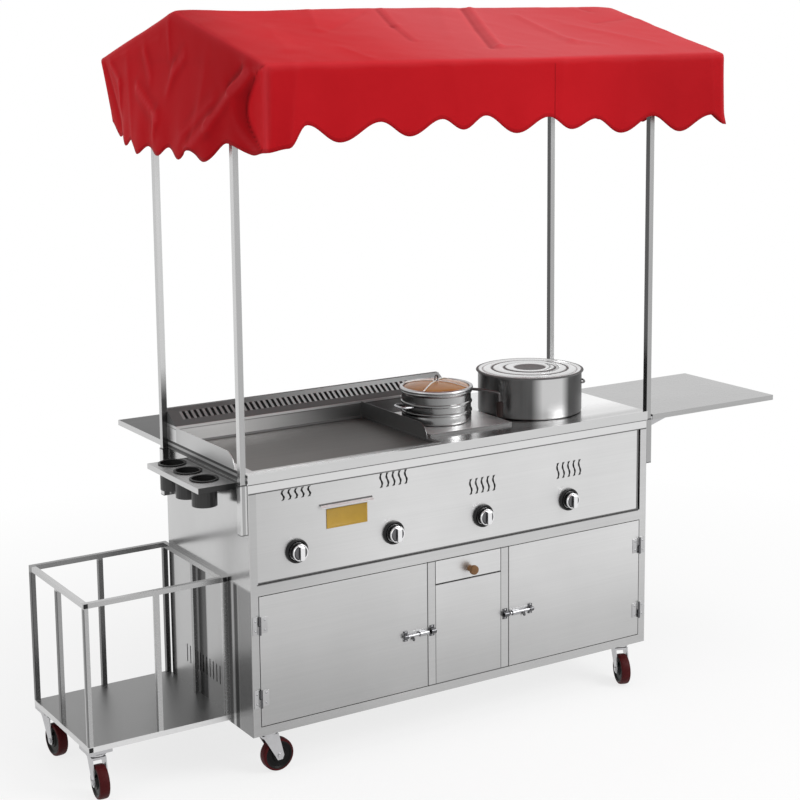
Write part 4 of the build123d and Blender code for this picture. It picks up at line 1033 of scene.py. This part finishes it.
# %% Caster wheels
casters = [(60, 42, 0), (1226, 42, 250), (60, 444, 30), (1226, 444, 330), (-362, 162, 265), (-362, 474, 275)]
wheel_trail, wheel_radius = 28, 44
side_profile = [(6, -14), (15, -14.4), (17.5, -13.6), (19, -11), (31, -10.4), (33.4, -12.8), (36.2, -13.9)]
side_profile += [(37.6, -13.2)]
side_profile += [(radius, -height) for radius, height in reversed(side_profile)]
tread_profile = [(37, -13.4), (40.4, -13.4), (42.8, -11.6), (43.8, -8), (44, -3)]
tread_profile += [(radius, -height) for radius, height in reversed(tread_profile)]
wheel_sides = painted(turned("wheel_sides", side_profile, sides=72), wheel_black)
tread = painted(turned("wheel_tread", tread_profile, sides=96, closed=True), tread_red)
wheels = copies(joined("caster_tyre_1", wheel_sides, tread), "caster_tyre", 6)
for number, (wheel, (x, y, heading)) in enumerate(zip(wheels, casters), 1):
    hub = at(*around((x, y), wheel_trail, heading, wheel_radius))
    put(wheel, hub, Matrix.Rotation(math.radians(heading), 3, "Z") @ to_front)
    finish_piece(wheel, f"caster_wheel_{number}", "wheel_rubber", f"caster_wheel_{number}")
print("wheels", len(wheels))

# %% [markdown]
# Small things finish the metalwork: a pressed race under each caster's plate, and black plugs in the open
# ends of the cage's rail and tray.

# %% Caster races and plugs
race_profile = [(22.5, 107.3), (25.4, 107.3), (26.2, 108.8), (25.2, 112.4), (22.5, 113.4)]
first_race = painted(turned("caster_race_1", race_profile, sides=40, closed=True), zinc_plate)
races = copies(first_race, "caster_race", 6)
for race, (x, y, heading) in zip(races, casters):
    finish_piece(put(race, at(x, y, 0)), "cart", "hardware_steel")
plug_front, plug_back, plug_width = 126.6, 128.4, 11
plug_places = [(-393, 502, 513), (-12, 502, 513), (-393, 127, 139)]
plugs = []
for x, bottom, top in plug_places:
    plugs.append(block("plug", at(x, plug_front, bottom), at(x + plug_width, plug_back, top), 0.5))
rail_plugs = painted(joined("rail_plugs", *plugs), black_moulding)
finish_piece(rail_plugs, "cart", "stainless")
print("races", len(races), "plug faces", len(rail_plugs.data.polygons))

# %% [markdown]
# The cup rack is a bent steel shelf. Three black cups hang in it with thick rims. The cups are part of the
# CAD rack, so its finish turns black within their radius, and the rims are turned rings laid on top.

# %% Cups in the rack
cup_x, cup_rows, cup_reach = -55, (134, 230, 325), 33.6
rack_steel = steel_sheet("rack_steel", grey(0.42), 0.34, streak=0.04, cloud=0.06)
# Painted shade along the rack's front and where it meets the cabinet, and painted light on its outer lip.
band(rack_steel, grey(0.025), 0.4, 0.3, y=(50, 56.5))
band(rack_steel, grey(0.55), 0.3, x=(-120, -109))
band(rack_steel, grey(0.05), 0.5, 0.2, x=(-6, 2), z=(760, 782))
rack_tree = rack_steel.node_tree
for row in cup_rows:
    in_cup = between(rack_tree, from_axis(rack_tree, cup_x, row), -1.0, cup_reach * MM, 0.0001)
    overlay(rack_tree, in_cup, grey(0.010), 0.4, 0.0, 0.98)
dress(rack_steel, "cup_rack")
rim_profile = [(30.7, 779.4), (36.6, 780.2), (38, 781.4), (37.4, 783), (34.6, 783.8), (31.8, 783.2)]
rim_profile += [(30.7, 781.6)]
rims = copies(painted(turned("cup_rim_1", rim_profile, sides=48, closed=True), black_moulding), "cup_rim", 3)
for rim, row in zip(rims, cup_rows):
    finish_piece(put(rim, at(cup_x, row, 0)), "cart", "stainless")
print("cup rims", len(rims))

# %% [markdown]
# A thin yellow plate with a raised border is fixed below the hood of the control panel. It stays bare. The
# border is made by hand: the front face is inset and the middle is pushed back a little.

# %% Bare plate
plate = painted(block("bare_plate", at(224, -2.0, 636), at(346, -0.1, 688), 0.5), label_yellow)
border, border_slope, dish = 3.2, 0.8, 0.7
bpy.ops.object.mode_set(mode="EDIT")
bpy.ops.mesh.select_all(action="DESELECT")
bpy.ops.object.mode_set(mode="OBJECT")
for face in plate.data.polygons:
    face.select = face.normal.y < -0.99
bpy.ops.object.mode_set(mode="EDIT")
bpy.ops.mesh.inset(thickness=border * MM, depth=0)
bpy.ops.mesh.inset(thickness=border_slope * MM, depth=-dish * MM)
bpy.ops.object.mode_set(mode="OBJECT")
finish_piece(plate, "cart", "stainless")
print("plate faces", len(plate.data.polygons))

# %% [markdown]
# The canopy is one sheet of coated cloth: two slopes over a ridge, a valance along the front and the back,
# and a gable at each end, all sewn along the edges and cut in waves along the hem. A cloth simulation would
# hang it too evenly, so the sheet is built by hand as one grid, its edges are softened, and the folds that
# its own weight and its packing left in it are then pressed in one by one.

# %% Waves along the hem
canopy_x, canopy_y = (-51, 1337), (-239, 725)
ridge_y, eave_z, ridge_z = 243, 1830, 1959
front_waves = [(-51, 1628), (4, 1636), (52, 1688), (142, 1644), (253, 1688), (335, 1650), (428, 1688)]
front_waves += [(491, 1660), (555, 1692), (650, 1645), (750, 1682), (822, 1648), (898, 1672), (983, 1632)]
front_waves += [(1088, 1672), (1179, 1628), (1292, 1668), (1337, 1640)]
left_waves = [(-239, 1628), (-186, 1620), (-70, 1642), (40, 1592), (112, 1616), (172, 1590), (236, 1616)]
left_waves += [(296, 1592), (366, 1612), (437, 1588), (490, 1622), (541, 1604), (592, 1638), (650, 1622)]
left_waves += [(725, 1660)]
right_waves = [(-239, 1640), (-150, 1676), (-60, 1634), (40, 1672), (130, 1630), (235, 1668), (330, 1628)]
right_waves += [(440, 1670), (530, 1632), (630, 1674), (725, 1650)]
rear_waves = [(-51, 1660), (60, 1688), (170, 1640), (300, 1684), (420, 1638), (540, 1686), (660, 1642)]
rear_waves += [(780, 1684), (900, 1640), (1020, 1686), (1130, 1640), (1240, 1682), (1337, 1650)]


def hem_height(turning_points, places):
    """Height of a hem that swings smoothly between the given turning points."""
    stops, heights = np.array(turning_points, float).T
    last = np.clip(np.searchsorted(stops, places, side="right") - 1, 0, len(stops) - 2)
    part = (places - stops[last]) / (stops[last + 1] - stops[last])
    swing = (1 - np.cos(np.pi * np.clip(part, 0, 1))) / 2
    return heights[last] + (heights[last + 1] - heights[last]) * swing


print("waves", len(front_waves), len(left_waves), len(right_waves), len(rear_waves))

# %% [markdown]
# Cloth that was packed away keeps its creases where it was folded. They could be sculpted, but a list of
# lines is easier to read and to change. A fold has a start, an end, a height and a width in millimetres,
# and a negative height is a groove. On gables and valances its places are given across and up, on the
# slopes along and across the roof.

# %% Folds as the cloth shows them
gable_folds = [
    ((643, 1815), (581, 1766), 5, 8), ((581, 1766), (586, 1703), 6, 9), ((416, 1852), (373, 1788), 5, 9),
    ((449, 1758), (314, 1687), 7, 10), ((314, 1687), (324, 1643), 6, 10), ((268, 1939), (261, 1844), 3, 6),
    ((179, 1845), (231, 1807), 6, 9), ((231, 1807), (259, 1759), 5, 10), ((663, 1826), (328, 1891), 2, 6),
    ((-158, 1810), (-97, 1769), 10, 11), ((-97, 1769), (9, 1685), 12, 13), ((9, 1685), (118, 1622), 9, 14),
    ((-120, 1816), (-70, 1782), -7, 12), ((6, 1741), (153, 1652), 5, 14), ((-225, 1822), (-196, 1810), 5, 7),
    ((520, 1800), (480, 1640), 4, 30), ((60, 1800), (90, 1640), 3, 30), ((690, 1800), (640, 1660), -5, 16),
]
slope_folds = [
    ((832, 229), (680, -129), 7, 10), ((806, 229), (652, -129), -8, 9), ((666, -129), (742, -134), 4, 8),
    ((545, 226), (503, 78), 5, 10), ((503, 78), (475, -53), 4, 10), ((531, 226), (489, 78), -6, 9),
    ((489, 78), (461, -53), -4, 10), ((934, 142), (938, -89), 6, 16), ((938, -89), (1005, -131), 4, 14),
    ((1207, 253), (1218, 200), -4, 10), ((1153, 82), (1332, 129), -4, 14), ((1332, 129), (1323, 65), 4, 12),
    ((321, 215), (256, 55), 4, 16), ((297, 53), (467, 190), -3, 18), ((224, -114), (246, -206), 3, 14),
    ((1052, 40), (1180, -120), 4, 22), ((720, 205), (600, -20), 3, 24), ((120, 60), (70, -120), 3, 22),
]
rear_folds = [
    ((60, 300), (260, 640), 5, 14), ((420, 280), (330, 600), -4, 16), ((560, 330), (800, 690), 6, 12),
    ((900, 300), (760, 560), 4, 14), ((1000, 420), (1250, 660), -4, 14), ((1180, 300), (1080, 620), 5, 16),
]
valance_folds = [
    ((30, 1822), (10, 1660), 3, 24), ((800, 1822), (790, 1690), 2, 20), ((460, 1815), (480, 1700), 2, 30),
    ((1290, 1815), (1300, 1670), 3, 26), ((1020, 1818), (1000, 1680), 2, 30),
]
fade_reach = 1.6


def pressed(across, up, folds):
    """Height of the listed folds over a panel; each one fades past its ends."""
    total = np.zeros_like(across)
    for (start_across, start_up), (end_across, end_up), height, width in folds:
        run, climb = end_across - start_across, end_up - start_up
        length = math.hypot(run, climb)
        along = ((across - start_across) * run + (up - start_up) * climb) / length**2
        beside = ((across - start_across) * climb - (up - start_up) * run) / length
        past = np.clip(np.maximum(-along, along - 1), 0, None) * length
        total += height * np.exp(-np.abs(beside) / width) * np.exp(-((past / (fade_reach * width)) ** 2))
    return total


print("folds", len(gable_folds) + len(slope_folds) + len(rear_folds) + len(valance_folds))

# %% [markdown]
# The sheet starts as the two flat slopes, laid out as one grid with its ridge in the middle. Each point
# keeps a number and its distance from the hem, where the roof simply counts as far away.

# %% Grid of the sheet
columns, rows, drops = 200, 68, 28
far_from_hem = 400.0
xs = np.linspace(*canopy_x, columns + 1)
front_ys = np.linspace(canopy_y[0], ridge_y, rows + 1)
rear_ys = np.linspace(ridge_y, canopy_y[1], rows + 1)
ys = np.concatenate([front_ys, rear_ys[1:]])
roof_z = np.interp(ys, [canopy_y[0], ridge_y, canopy_y[1]], [eave_z, ridge_z, eave_z])
points, hem_gap, cells = [], [], []
number_of = {}


def vertex(key, place, above_hem):
    """Number of a grid point, which is made once, so that panels share the points of a sewn edge."""
    if key not in number_of:
        number_of[key] = len(points)
        points.append(place)
        hem_gap.append(above_hem)
    return number_of[key]


roof_table = [
    [vertex(("roof", i, j), (x, y, z), far_from_hem) for i, x in enumerate(xs)]
    for j, (y, z) in enumerate(zip(ys, roof_z))
]
print("roof points", len(points))

# %% [markdown]
# From each of the roof's four edges rows of points hang straight down to the waves of the hem. Separate
# panels would need sewing together, so neighbours share the points of their edge, and the sheet is in one
# piece.

# %% Valances and gables


def hang(edge, hem, tag):
    """Adds the rows of points below an edge, down to the hem, and returns them as a table of numbers."""
    table = [[number_of[("roof", *key)] for key in edge]]
    for drop in range(1, drops + 1):
        row = []
        for n, (key, low) in enumerate(zip(edge, hem)):
            x, y, z = points[table[0][n]]
            corner = key[0] in (0, columns) and key[1] in (0, 2 * rows)
            name = ("corner", *key, drop) if corner else (tag, n, drop)
            place = (x, y, z + (low - z) * drop / drops)
            row.append(vertex(name, place, (z - low) * (1 - drop / drops)))
        table.append(row)
    return table


def quads(table, turned_over):
    """Faces between the rows of a table, wound so that they point out of the canopy."""
    for upper, lower in zip(table, table[1:]):
        for n in range(len(upper) - 1):
            four = [upper[n], upper[n + 1], lower[n + 1], lower[n]]
            cells.append(four[::-1] if turned_over else four)


quads(roof_table, False)
panels = [
    ("front", [(i, 0) for i in range(columns + 1)], hem_height(front_waves, xs), True),
    ("rear", [(i, 2 * rows) for i in range(columns + 1)], hem_height(rear_waves, xs), False),
    ("left", [(0, j) for j in range(2 * rows + 1)], hem_height(left_waves, ys), False),
    ("right", [(columns, j) for j in range(2 * rows + 1)], hem_height(right_waves, ys), True),
]
for tag, edge, hem, turned_over in panels:
    quads(hang(edge, hem, tag), turned_over)
print("cloth points", len(points), "cells", len(cells))

# %% [markdown]
# A sewn edge is never knife sharp. Each point is drawn towards its neighbours a few times, except near the
# hem, which keeps its waves, and the sheet is then moved outwards so that it clears the tubes below it.

# %% Soften the sewn edges
hem_hold, side_clearance, roof_clearance = 30, 4, 0.6
cloth = np.array(points, float)
gap = np.array(hem_gap)
corner_numbers = np.array(cells)
ring_pairs = np.array([[four[a], four[(a + 1) % 4]] for four in cells for a in range(4)])
links = np.unique(np.sort(ring_pairs, axis=1), axis=0)
degree = np.bincount(links.ravel(), minlength=len(cloth)).astype(float)[:, None]


def eased(values, rounds, hold):
    """Places drawn towards the mean of their neighbours, so many times, less where hold is near one."""
    for _ in range(rounds):
        total = np.zeros_like(values)
        np.add.at(total, links[:, 0], values[links[:, 1]])
        np.add.at(total, links[:, 1], values[links[:, 0]])
        values = values + (total / degree - values) * 0.5 * (1 - hold[:, None])
    return values


at_hem = np.clip(1 - gap / hem_hold, 0, 1)
cloth = eased(cloth, 3, at_hem)
corners = cloth[corner_numbers]
face_normal = np.cross(corners[:, 2] - corners[:, 0], corners[:, 3] - corners[:, 1])
normal = np.zeros_like(cloth)
for a in range(4):
    np.add.at(normal, corner_numbers[:, a], face_normal)
normal /= np.linalg.norm(normal, axis=1, keepdims=True)
level_share = np.clip(normal[:, 2:], 0, 1)
cloth += (side_clearance - (side_clearance - roof_clearance) * level_share) * normal
print("mean outward z of roof", round(float(normal[roof_table[30][80], 2]), 2))

# %% [markdown]
# Each panel of the cloth moves in its own way, so the next cell works out which points lie on the slopes,
# the valances and the gables. The normals of the sheet tell, and near a sewn edge a point belongs a little
# to both sides, so that no move breaks off there.

# %% Parts of the sheet
x, y, z = cloth.T
middle_x = sum(canopy_x) / 2
full_x, full_y, full_drop = canopy_x[1] - canopy_x[0], canopy_y[1] - canopy_y[0], 200


def facing(outward, start=0.3):
    """One on the points of the sheet that face a direction, and nought away from it."""
    return np.clip(outward * 1.6 - start, 0, 1)


on_roof = facing(normal[:, 2], 0.5)
on_front, on_rear = facing(-normal[:, 1]), facing(normal[:, 1])
on_left, on_right = facing(-normal[:, 0]), facing(normal[:, 0])
on_gables = on_left + on_right
front_half = (y < ridge_y).astype(float)
slope_share = np.clip((z - eave_z) / (ridge_z - eave_z), 0, 1)
wall_drop = np.clip((eave_z - z) / full_drop, 0, 1)
along_ridge = np.sin(np.pi * np.clip((x - canopy_x[0]) / full_x, 0, 1))
across_gable = np.sin(np.pi * np.clip((y - canopy_y[0]) / full_y, 0, 1))
print("points on the roof", int((on_roof > 0.5).sum()), "on the gables", int((on_gables > 0.5).sum()))

# %% [markdown]
# Now the cloth gets its life: the slopes sag a little between ridge and eave, the gables stand out towards
# the hem, the hem flutters with its waves, and the folds are added along the normals of the sheet. At the
# front left corner the gable is drawn in along a curved crease. A little smooth noise crumples the rest.

# %% Sag, flare and folds
slope_sag, gable_flare, left_depth, right_depth = 5, 26, 1.35, 0.8
front_flutter, rear_flutter, gable_flutter = 2.5, 4, 3
crease_front, crease_middle, crease_width, corner_pull = -126, 1722, 9, 0.19
crease_bow = np.where(z > crease_middle, 0.0102, 0.0128)
crease_y = crease_front - crease_bow * (z - crease_middle) ** 2
crease = on_left * np.exp(-(((y - crease_y) / crease_width) ** 2))
corner_width = np.maximum(crease_y - canopy_y[0], 1)
in_corner = np.clip((y - canopy_y[0]) / corner_width, 0, 1) * np.clip(1 - (y - crease_y) / 34, 0, 1)
front_of_crease = on_left * np.clip((crease_y - y) / 10, 0, 1)
lift = on_roof * front_half * pressed(x, y, slope_folds)
lift += on_roof * (1 - front_half) * pressed(x, y, rear_folds)
lift += on_left * left_depth * pressed(y, z, gable_folds)
lift -= on_left * corner_pull * corner_width * in_corner
lift += on_right * right_depth * pressed(ridge_y * 2 - y, z, gable_folds)
lift += on_front * pressed(x, z, valance_folds)
lift += on_rear * pressed(2 * middle_x - x, z, valance_folds)
lift -= on_roof * slope_sag * np.sin(np.pi * slope_share) * along_ridge
lift += on_gables * gable_flare * wall_drop * across_gable
lift += on_front * front_flutter * wall_drop**2 * np.sin(x / 26.0 + 0.6 * np.sin(x / 90.0))
lift += on_rear * rear_flutter * wall_drop**2 * np.sin(x / 24.0 + 1.0)
lift += on_gables * gable_flutter * wall_drop**2 * np.sin(y / 21.0)


def crumple(place, size):
    """Ridged noise: sharp soft-edged lines as in cloth that was folded away."""
    return 1 - 2 * abs(noise.noise(Vector(place) / size))


rough = np.array([crumple(place, 170.0) + 0.4 * crumple(place, 63.0) for place in cloth])
lift += (rough - rough.mean()) * (1.5 * on_roof + 0.8 * on_gables + 0.3 * (on_front + on_rear))
print("fold height", round(float(lift.min()), 1), "to", round(float(lift.max()), 1), "mm")

# %% [markdown]
# The lifted sheet droops at the ends of its ridge, and its rear corners are drawn in under the eave. It is
# eased once more, so that no fold is sharper than cloth can be.

# %% Droop and tucked corners
end_droop, ridge_dip, dip_x, dip_reach = 3, 5, 190, 150
tuck_sideways, tuck_forwards, tuck_reach = 26, 28, 150
cloth = cloth + normal * lift[:, None]
from_end = np.minimum(x - canopy_x[0], canopy_x[1] - x)
rear_corner = np.exp(-(((canopy_y[1] - y) / tuck_reach) ** 2)) * wall_drop
cloth[:, 2] -= end_droop * np.clip(1 - from_end / 70, 0, 1) ** 2 * on_roof * slope_share
cloth[:, 2] -= ridge_dip * np.exp(-(((x - dip_x) / dip_reach) ** 2)) * on_roof * slope_share**2
cloth[:, 0] += tuck_sideways * rear_corner * np.clip((middle_x - x) / 500, -1, 1)
cloth[:, 1] -= tuck_forwards * rear_corner * np.clip(np.abs(x - middle_x) / 300 - 1, 0, 1)
cloth = eased(cloth, 2, np.clip(at_hem * 1.2, 0, 1))
print("cloth from", cloth.min(axis=0).round(1), "to", cloth.max(axis=0).round(1))

# %% [markdown]
# The finish needs facts about each point. Ridges of folds get paler painted highlights, and hollows, seams
# and the corner's crease get painted shade. The roof gets a paler painted sheen from its middle to the right.
# Painted light makes the red brighter on the left gable, which turns away from the key lamp, and in front of
# the crease, and painted shade makes it dimmer at the right end of the front valance and at the left end of
# the roof. Painting this by hand would not follow the folds, so it is worked out from the places themselves.

# %% Painted highlights, shade and sheen on the cloth
seam_x, seam_half, nowhere_near, full_bend = 769, 7, 99, 1.2
bend = cloth - eased(cloth, 2, np.zeros(len(cloth)))
# Painted highlights on fold ridges and painted shade in hollows, from how far each point is bent.
fold_light_and_shade = np.clip(np.einsum("ij,ij->i", bend, normal) / full_bend, -1, 1)
beside_corner = np.hypot(from_end, np.minimum(y - canopy_y[0], canopy_y[1] - y))
beside_corner[(x < 0) & (y < 0)] = nowhere_near
beside_seam = np.minimum(beside_corner, np.where(on_front > 0.5, np.abs(x - seam_x), nowhere_near))
# Painted shade along the corner seams, the valance's seam and the crease.
seam_shadow_line = np.clip(1 - beside_seam / seam_half, 0, 1) * np.clip((eave_z - 6 - z) / 8, 0, 1)
seam_shadow_line = np.maximum(seam_shadow_line, 0.8 * crease)


def risen(values, start, end):
    """Smooth step from nought to one between two places."""
    part = np.clip((values - start) / (end - start), 0, 1)
    return part * part * (3 - 2 * part)


# Painted sheen on the roof, and painted light and shade as a tone over the cloth.
painted_roof_sheen = on_roof * (0.02 + 0.98 * risen(x, 200, 700) - 0.3 * risen(x, 850, 1200))
painted_light_and_shade = 1 + on_left * (0.08 + 0.28 * risen(y, -150, 600)) - on_front * 0.22 * risen(x, 760, 1200)
painted_light_and_shade += 0.45 * front_of_crease - on_roof * 0.22 * (1 - risen(x, -51, 110)) * slope_share
print("painted_light_and_shade", round(float(painted_light_and_shade.min()), 2), "to", round(float(painted_light_and_shade.max()), 2))

# %% [markdown]
# The points become a mesh with a map along the cloth for its weave and one attribute for each fact, and a
# Solidify modifier gives the sheet its thickness.

# %% Cloth mesh
cloth_thick = 0.9
canopy_mesh = bpy.data.meshes.new("canopy_cloth")
canopy_mesh.from_pydata([tuple(at(*place)) for place in cloth], [], cells)
facts = {"fold_light_and_shade": fold_light_and_shade, "hem": gap * MM, "seam_shadow": seam_shadow_line, "painted_roof_sheen": painted_roof_sheen, "painted_light_and_shade": painted_light_and_shade}
for attribute, values in facts.items():
    layer = canopy_mesh.attributes.new(attribute, "FLOAT", "POINT")
    layer.data.foreach_set("value", values.astype(np.float32))
cloth_uv = canopy_mesh.uv_layers.new(name="cloth")
loop_vertex = np.empty(len(canopy_mesh.loops), dtype=np.int32)
canopy_mesh.loops.foreach_get("vertex_index", loop_vertex)
along_cloth = np.where(on_gables > 0.5, y, x)[loop_vertex] * MM
down_cloth = np.where(on_roof > 0.5, y, z)[loop_vertex] * MM
cloth_uv.data.foreach_set("uv", np.stack([along_cloth, down_cloth], axis=1).ravel().astype(np.float32))
canopy = bpy.data.objects.new("canopy_sheet", canopy_mesh)
bpy.context.scene.collection.objects.link(canopy)
only(canopy)
bpy.ops.object.shade_smooth()
thickness = canopy.modifiers.new("cloth_thickness", "SOLIDIFY")
thickness.thickness = cloth_thick * MM
thickness.offset = -1
bpy.ops.object.modifier_apply(modifier="cloth_thickness")
print("canopy triangles", sum(len(face.vertices) - 2 for face in canopy.data.polygons))

# %% [markdown]
# The cloth is a bright red coated weave. Painted shade deepens its colour in the hollows and painted
# highlights make it paler along the folds, the coating gives a soft shine, and a fine weave and a stitched
# hem show close up. All of it reads the cloth's own map and attributes, so it follows the folds.

# %% Red coated cloth
red_cloth, cloth_tree, cloth_surface = new_finish("red_cloth")
threads_per_metre = 260.0


def fact(name):
    """One of the cloth's attributes."""
    return add_node(cloth_tree, "Attribute", attribute_name=name)["Fac"]


def threads(direction):
    """Threads of the weave along one direction of the cloth."""
    sockets = {"Vector": cloth_place["UV"], "Scale": threads_per_metre}
    return add_node(cloth_tree, "TexWave", sockets, bands_direction=direction)["Fac"]


cloth_place = add_node(cloth_tree, "TexCoord")
tired = speckled(cloth_tree, cloth_place["Object"], 6.0, 5.0, 0.6)
wear_and_fold_shading = fact("fold_light_and_shade")
red = blended(cloth_tree, tired, (0.43, 0.006, 0.010, 1), (0.51, 0.010, 0.016, 1))
# Painted sheen on the roof, painted highlights on the fold ridges and painted shade in the hollows.
red = blended(cloth_tree, fact("painted_roof_sheen"), red, (0.49, 0.055, 0.063, 1))
red = blended(cloth_tree, ranged(cloth_tree, wear_and_fold_shading, 0.05, 0.9, 0.0, 0.5), red, (0.58, 0.045, 0.055, 1))
red = blended(cloth_tree, ranged(cloth_tree, wear_and_fold_shading, -0.05, -0.9, 0.0, 0.55), red, (0.17, 0.002, 0.005, 1))
stitch = ranged(cloth_tree, fact("hem"), 0.009, 0.011, 0.82, 1.0)
# Painted shade along the seams and the crease.
seam_shadow_tone = ranged(cloth_tree, fact("seam_shadow"), 0.55, 0.95, 1.0, 0.42)
# The tone also carries the painted light and shade over the cloth.
cloth_tone = times(cloth_tree, times(cloth_tree, stitch, seam_shadow_tone), fact("painted_light_and_shade"))
weave = embossed(cloth_tree, times(cloth_tree, threads("X"), threads("Y")), 0.10, 0.0004)
cloth_looks = {
    "Base Color": scaled(cloth_tree, red, cloth_tone),
    "Roughness": 0.52,
    "Specular IOR Level": 0.03,
    "Normal": embossed(cloth_tree, tired, 0.25, 0.004, Normal=weave),
}
fill(cloth_tree, cloth_surface, cloth_looks)
finish_piece(painted(canopy, red_cloth), "cart", "canopy_cloth", "canopy")
print("canopy dressed")
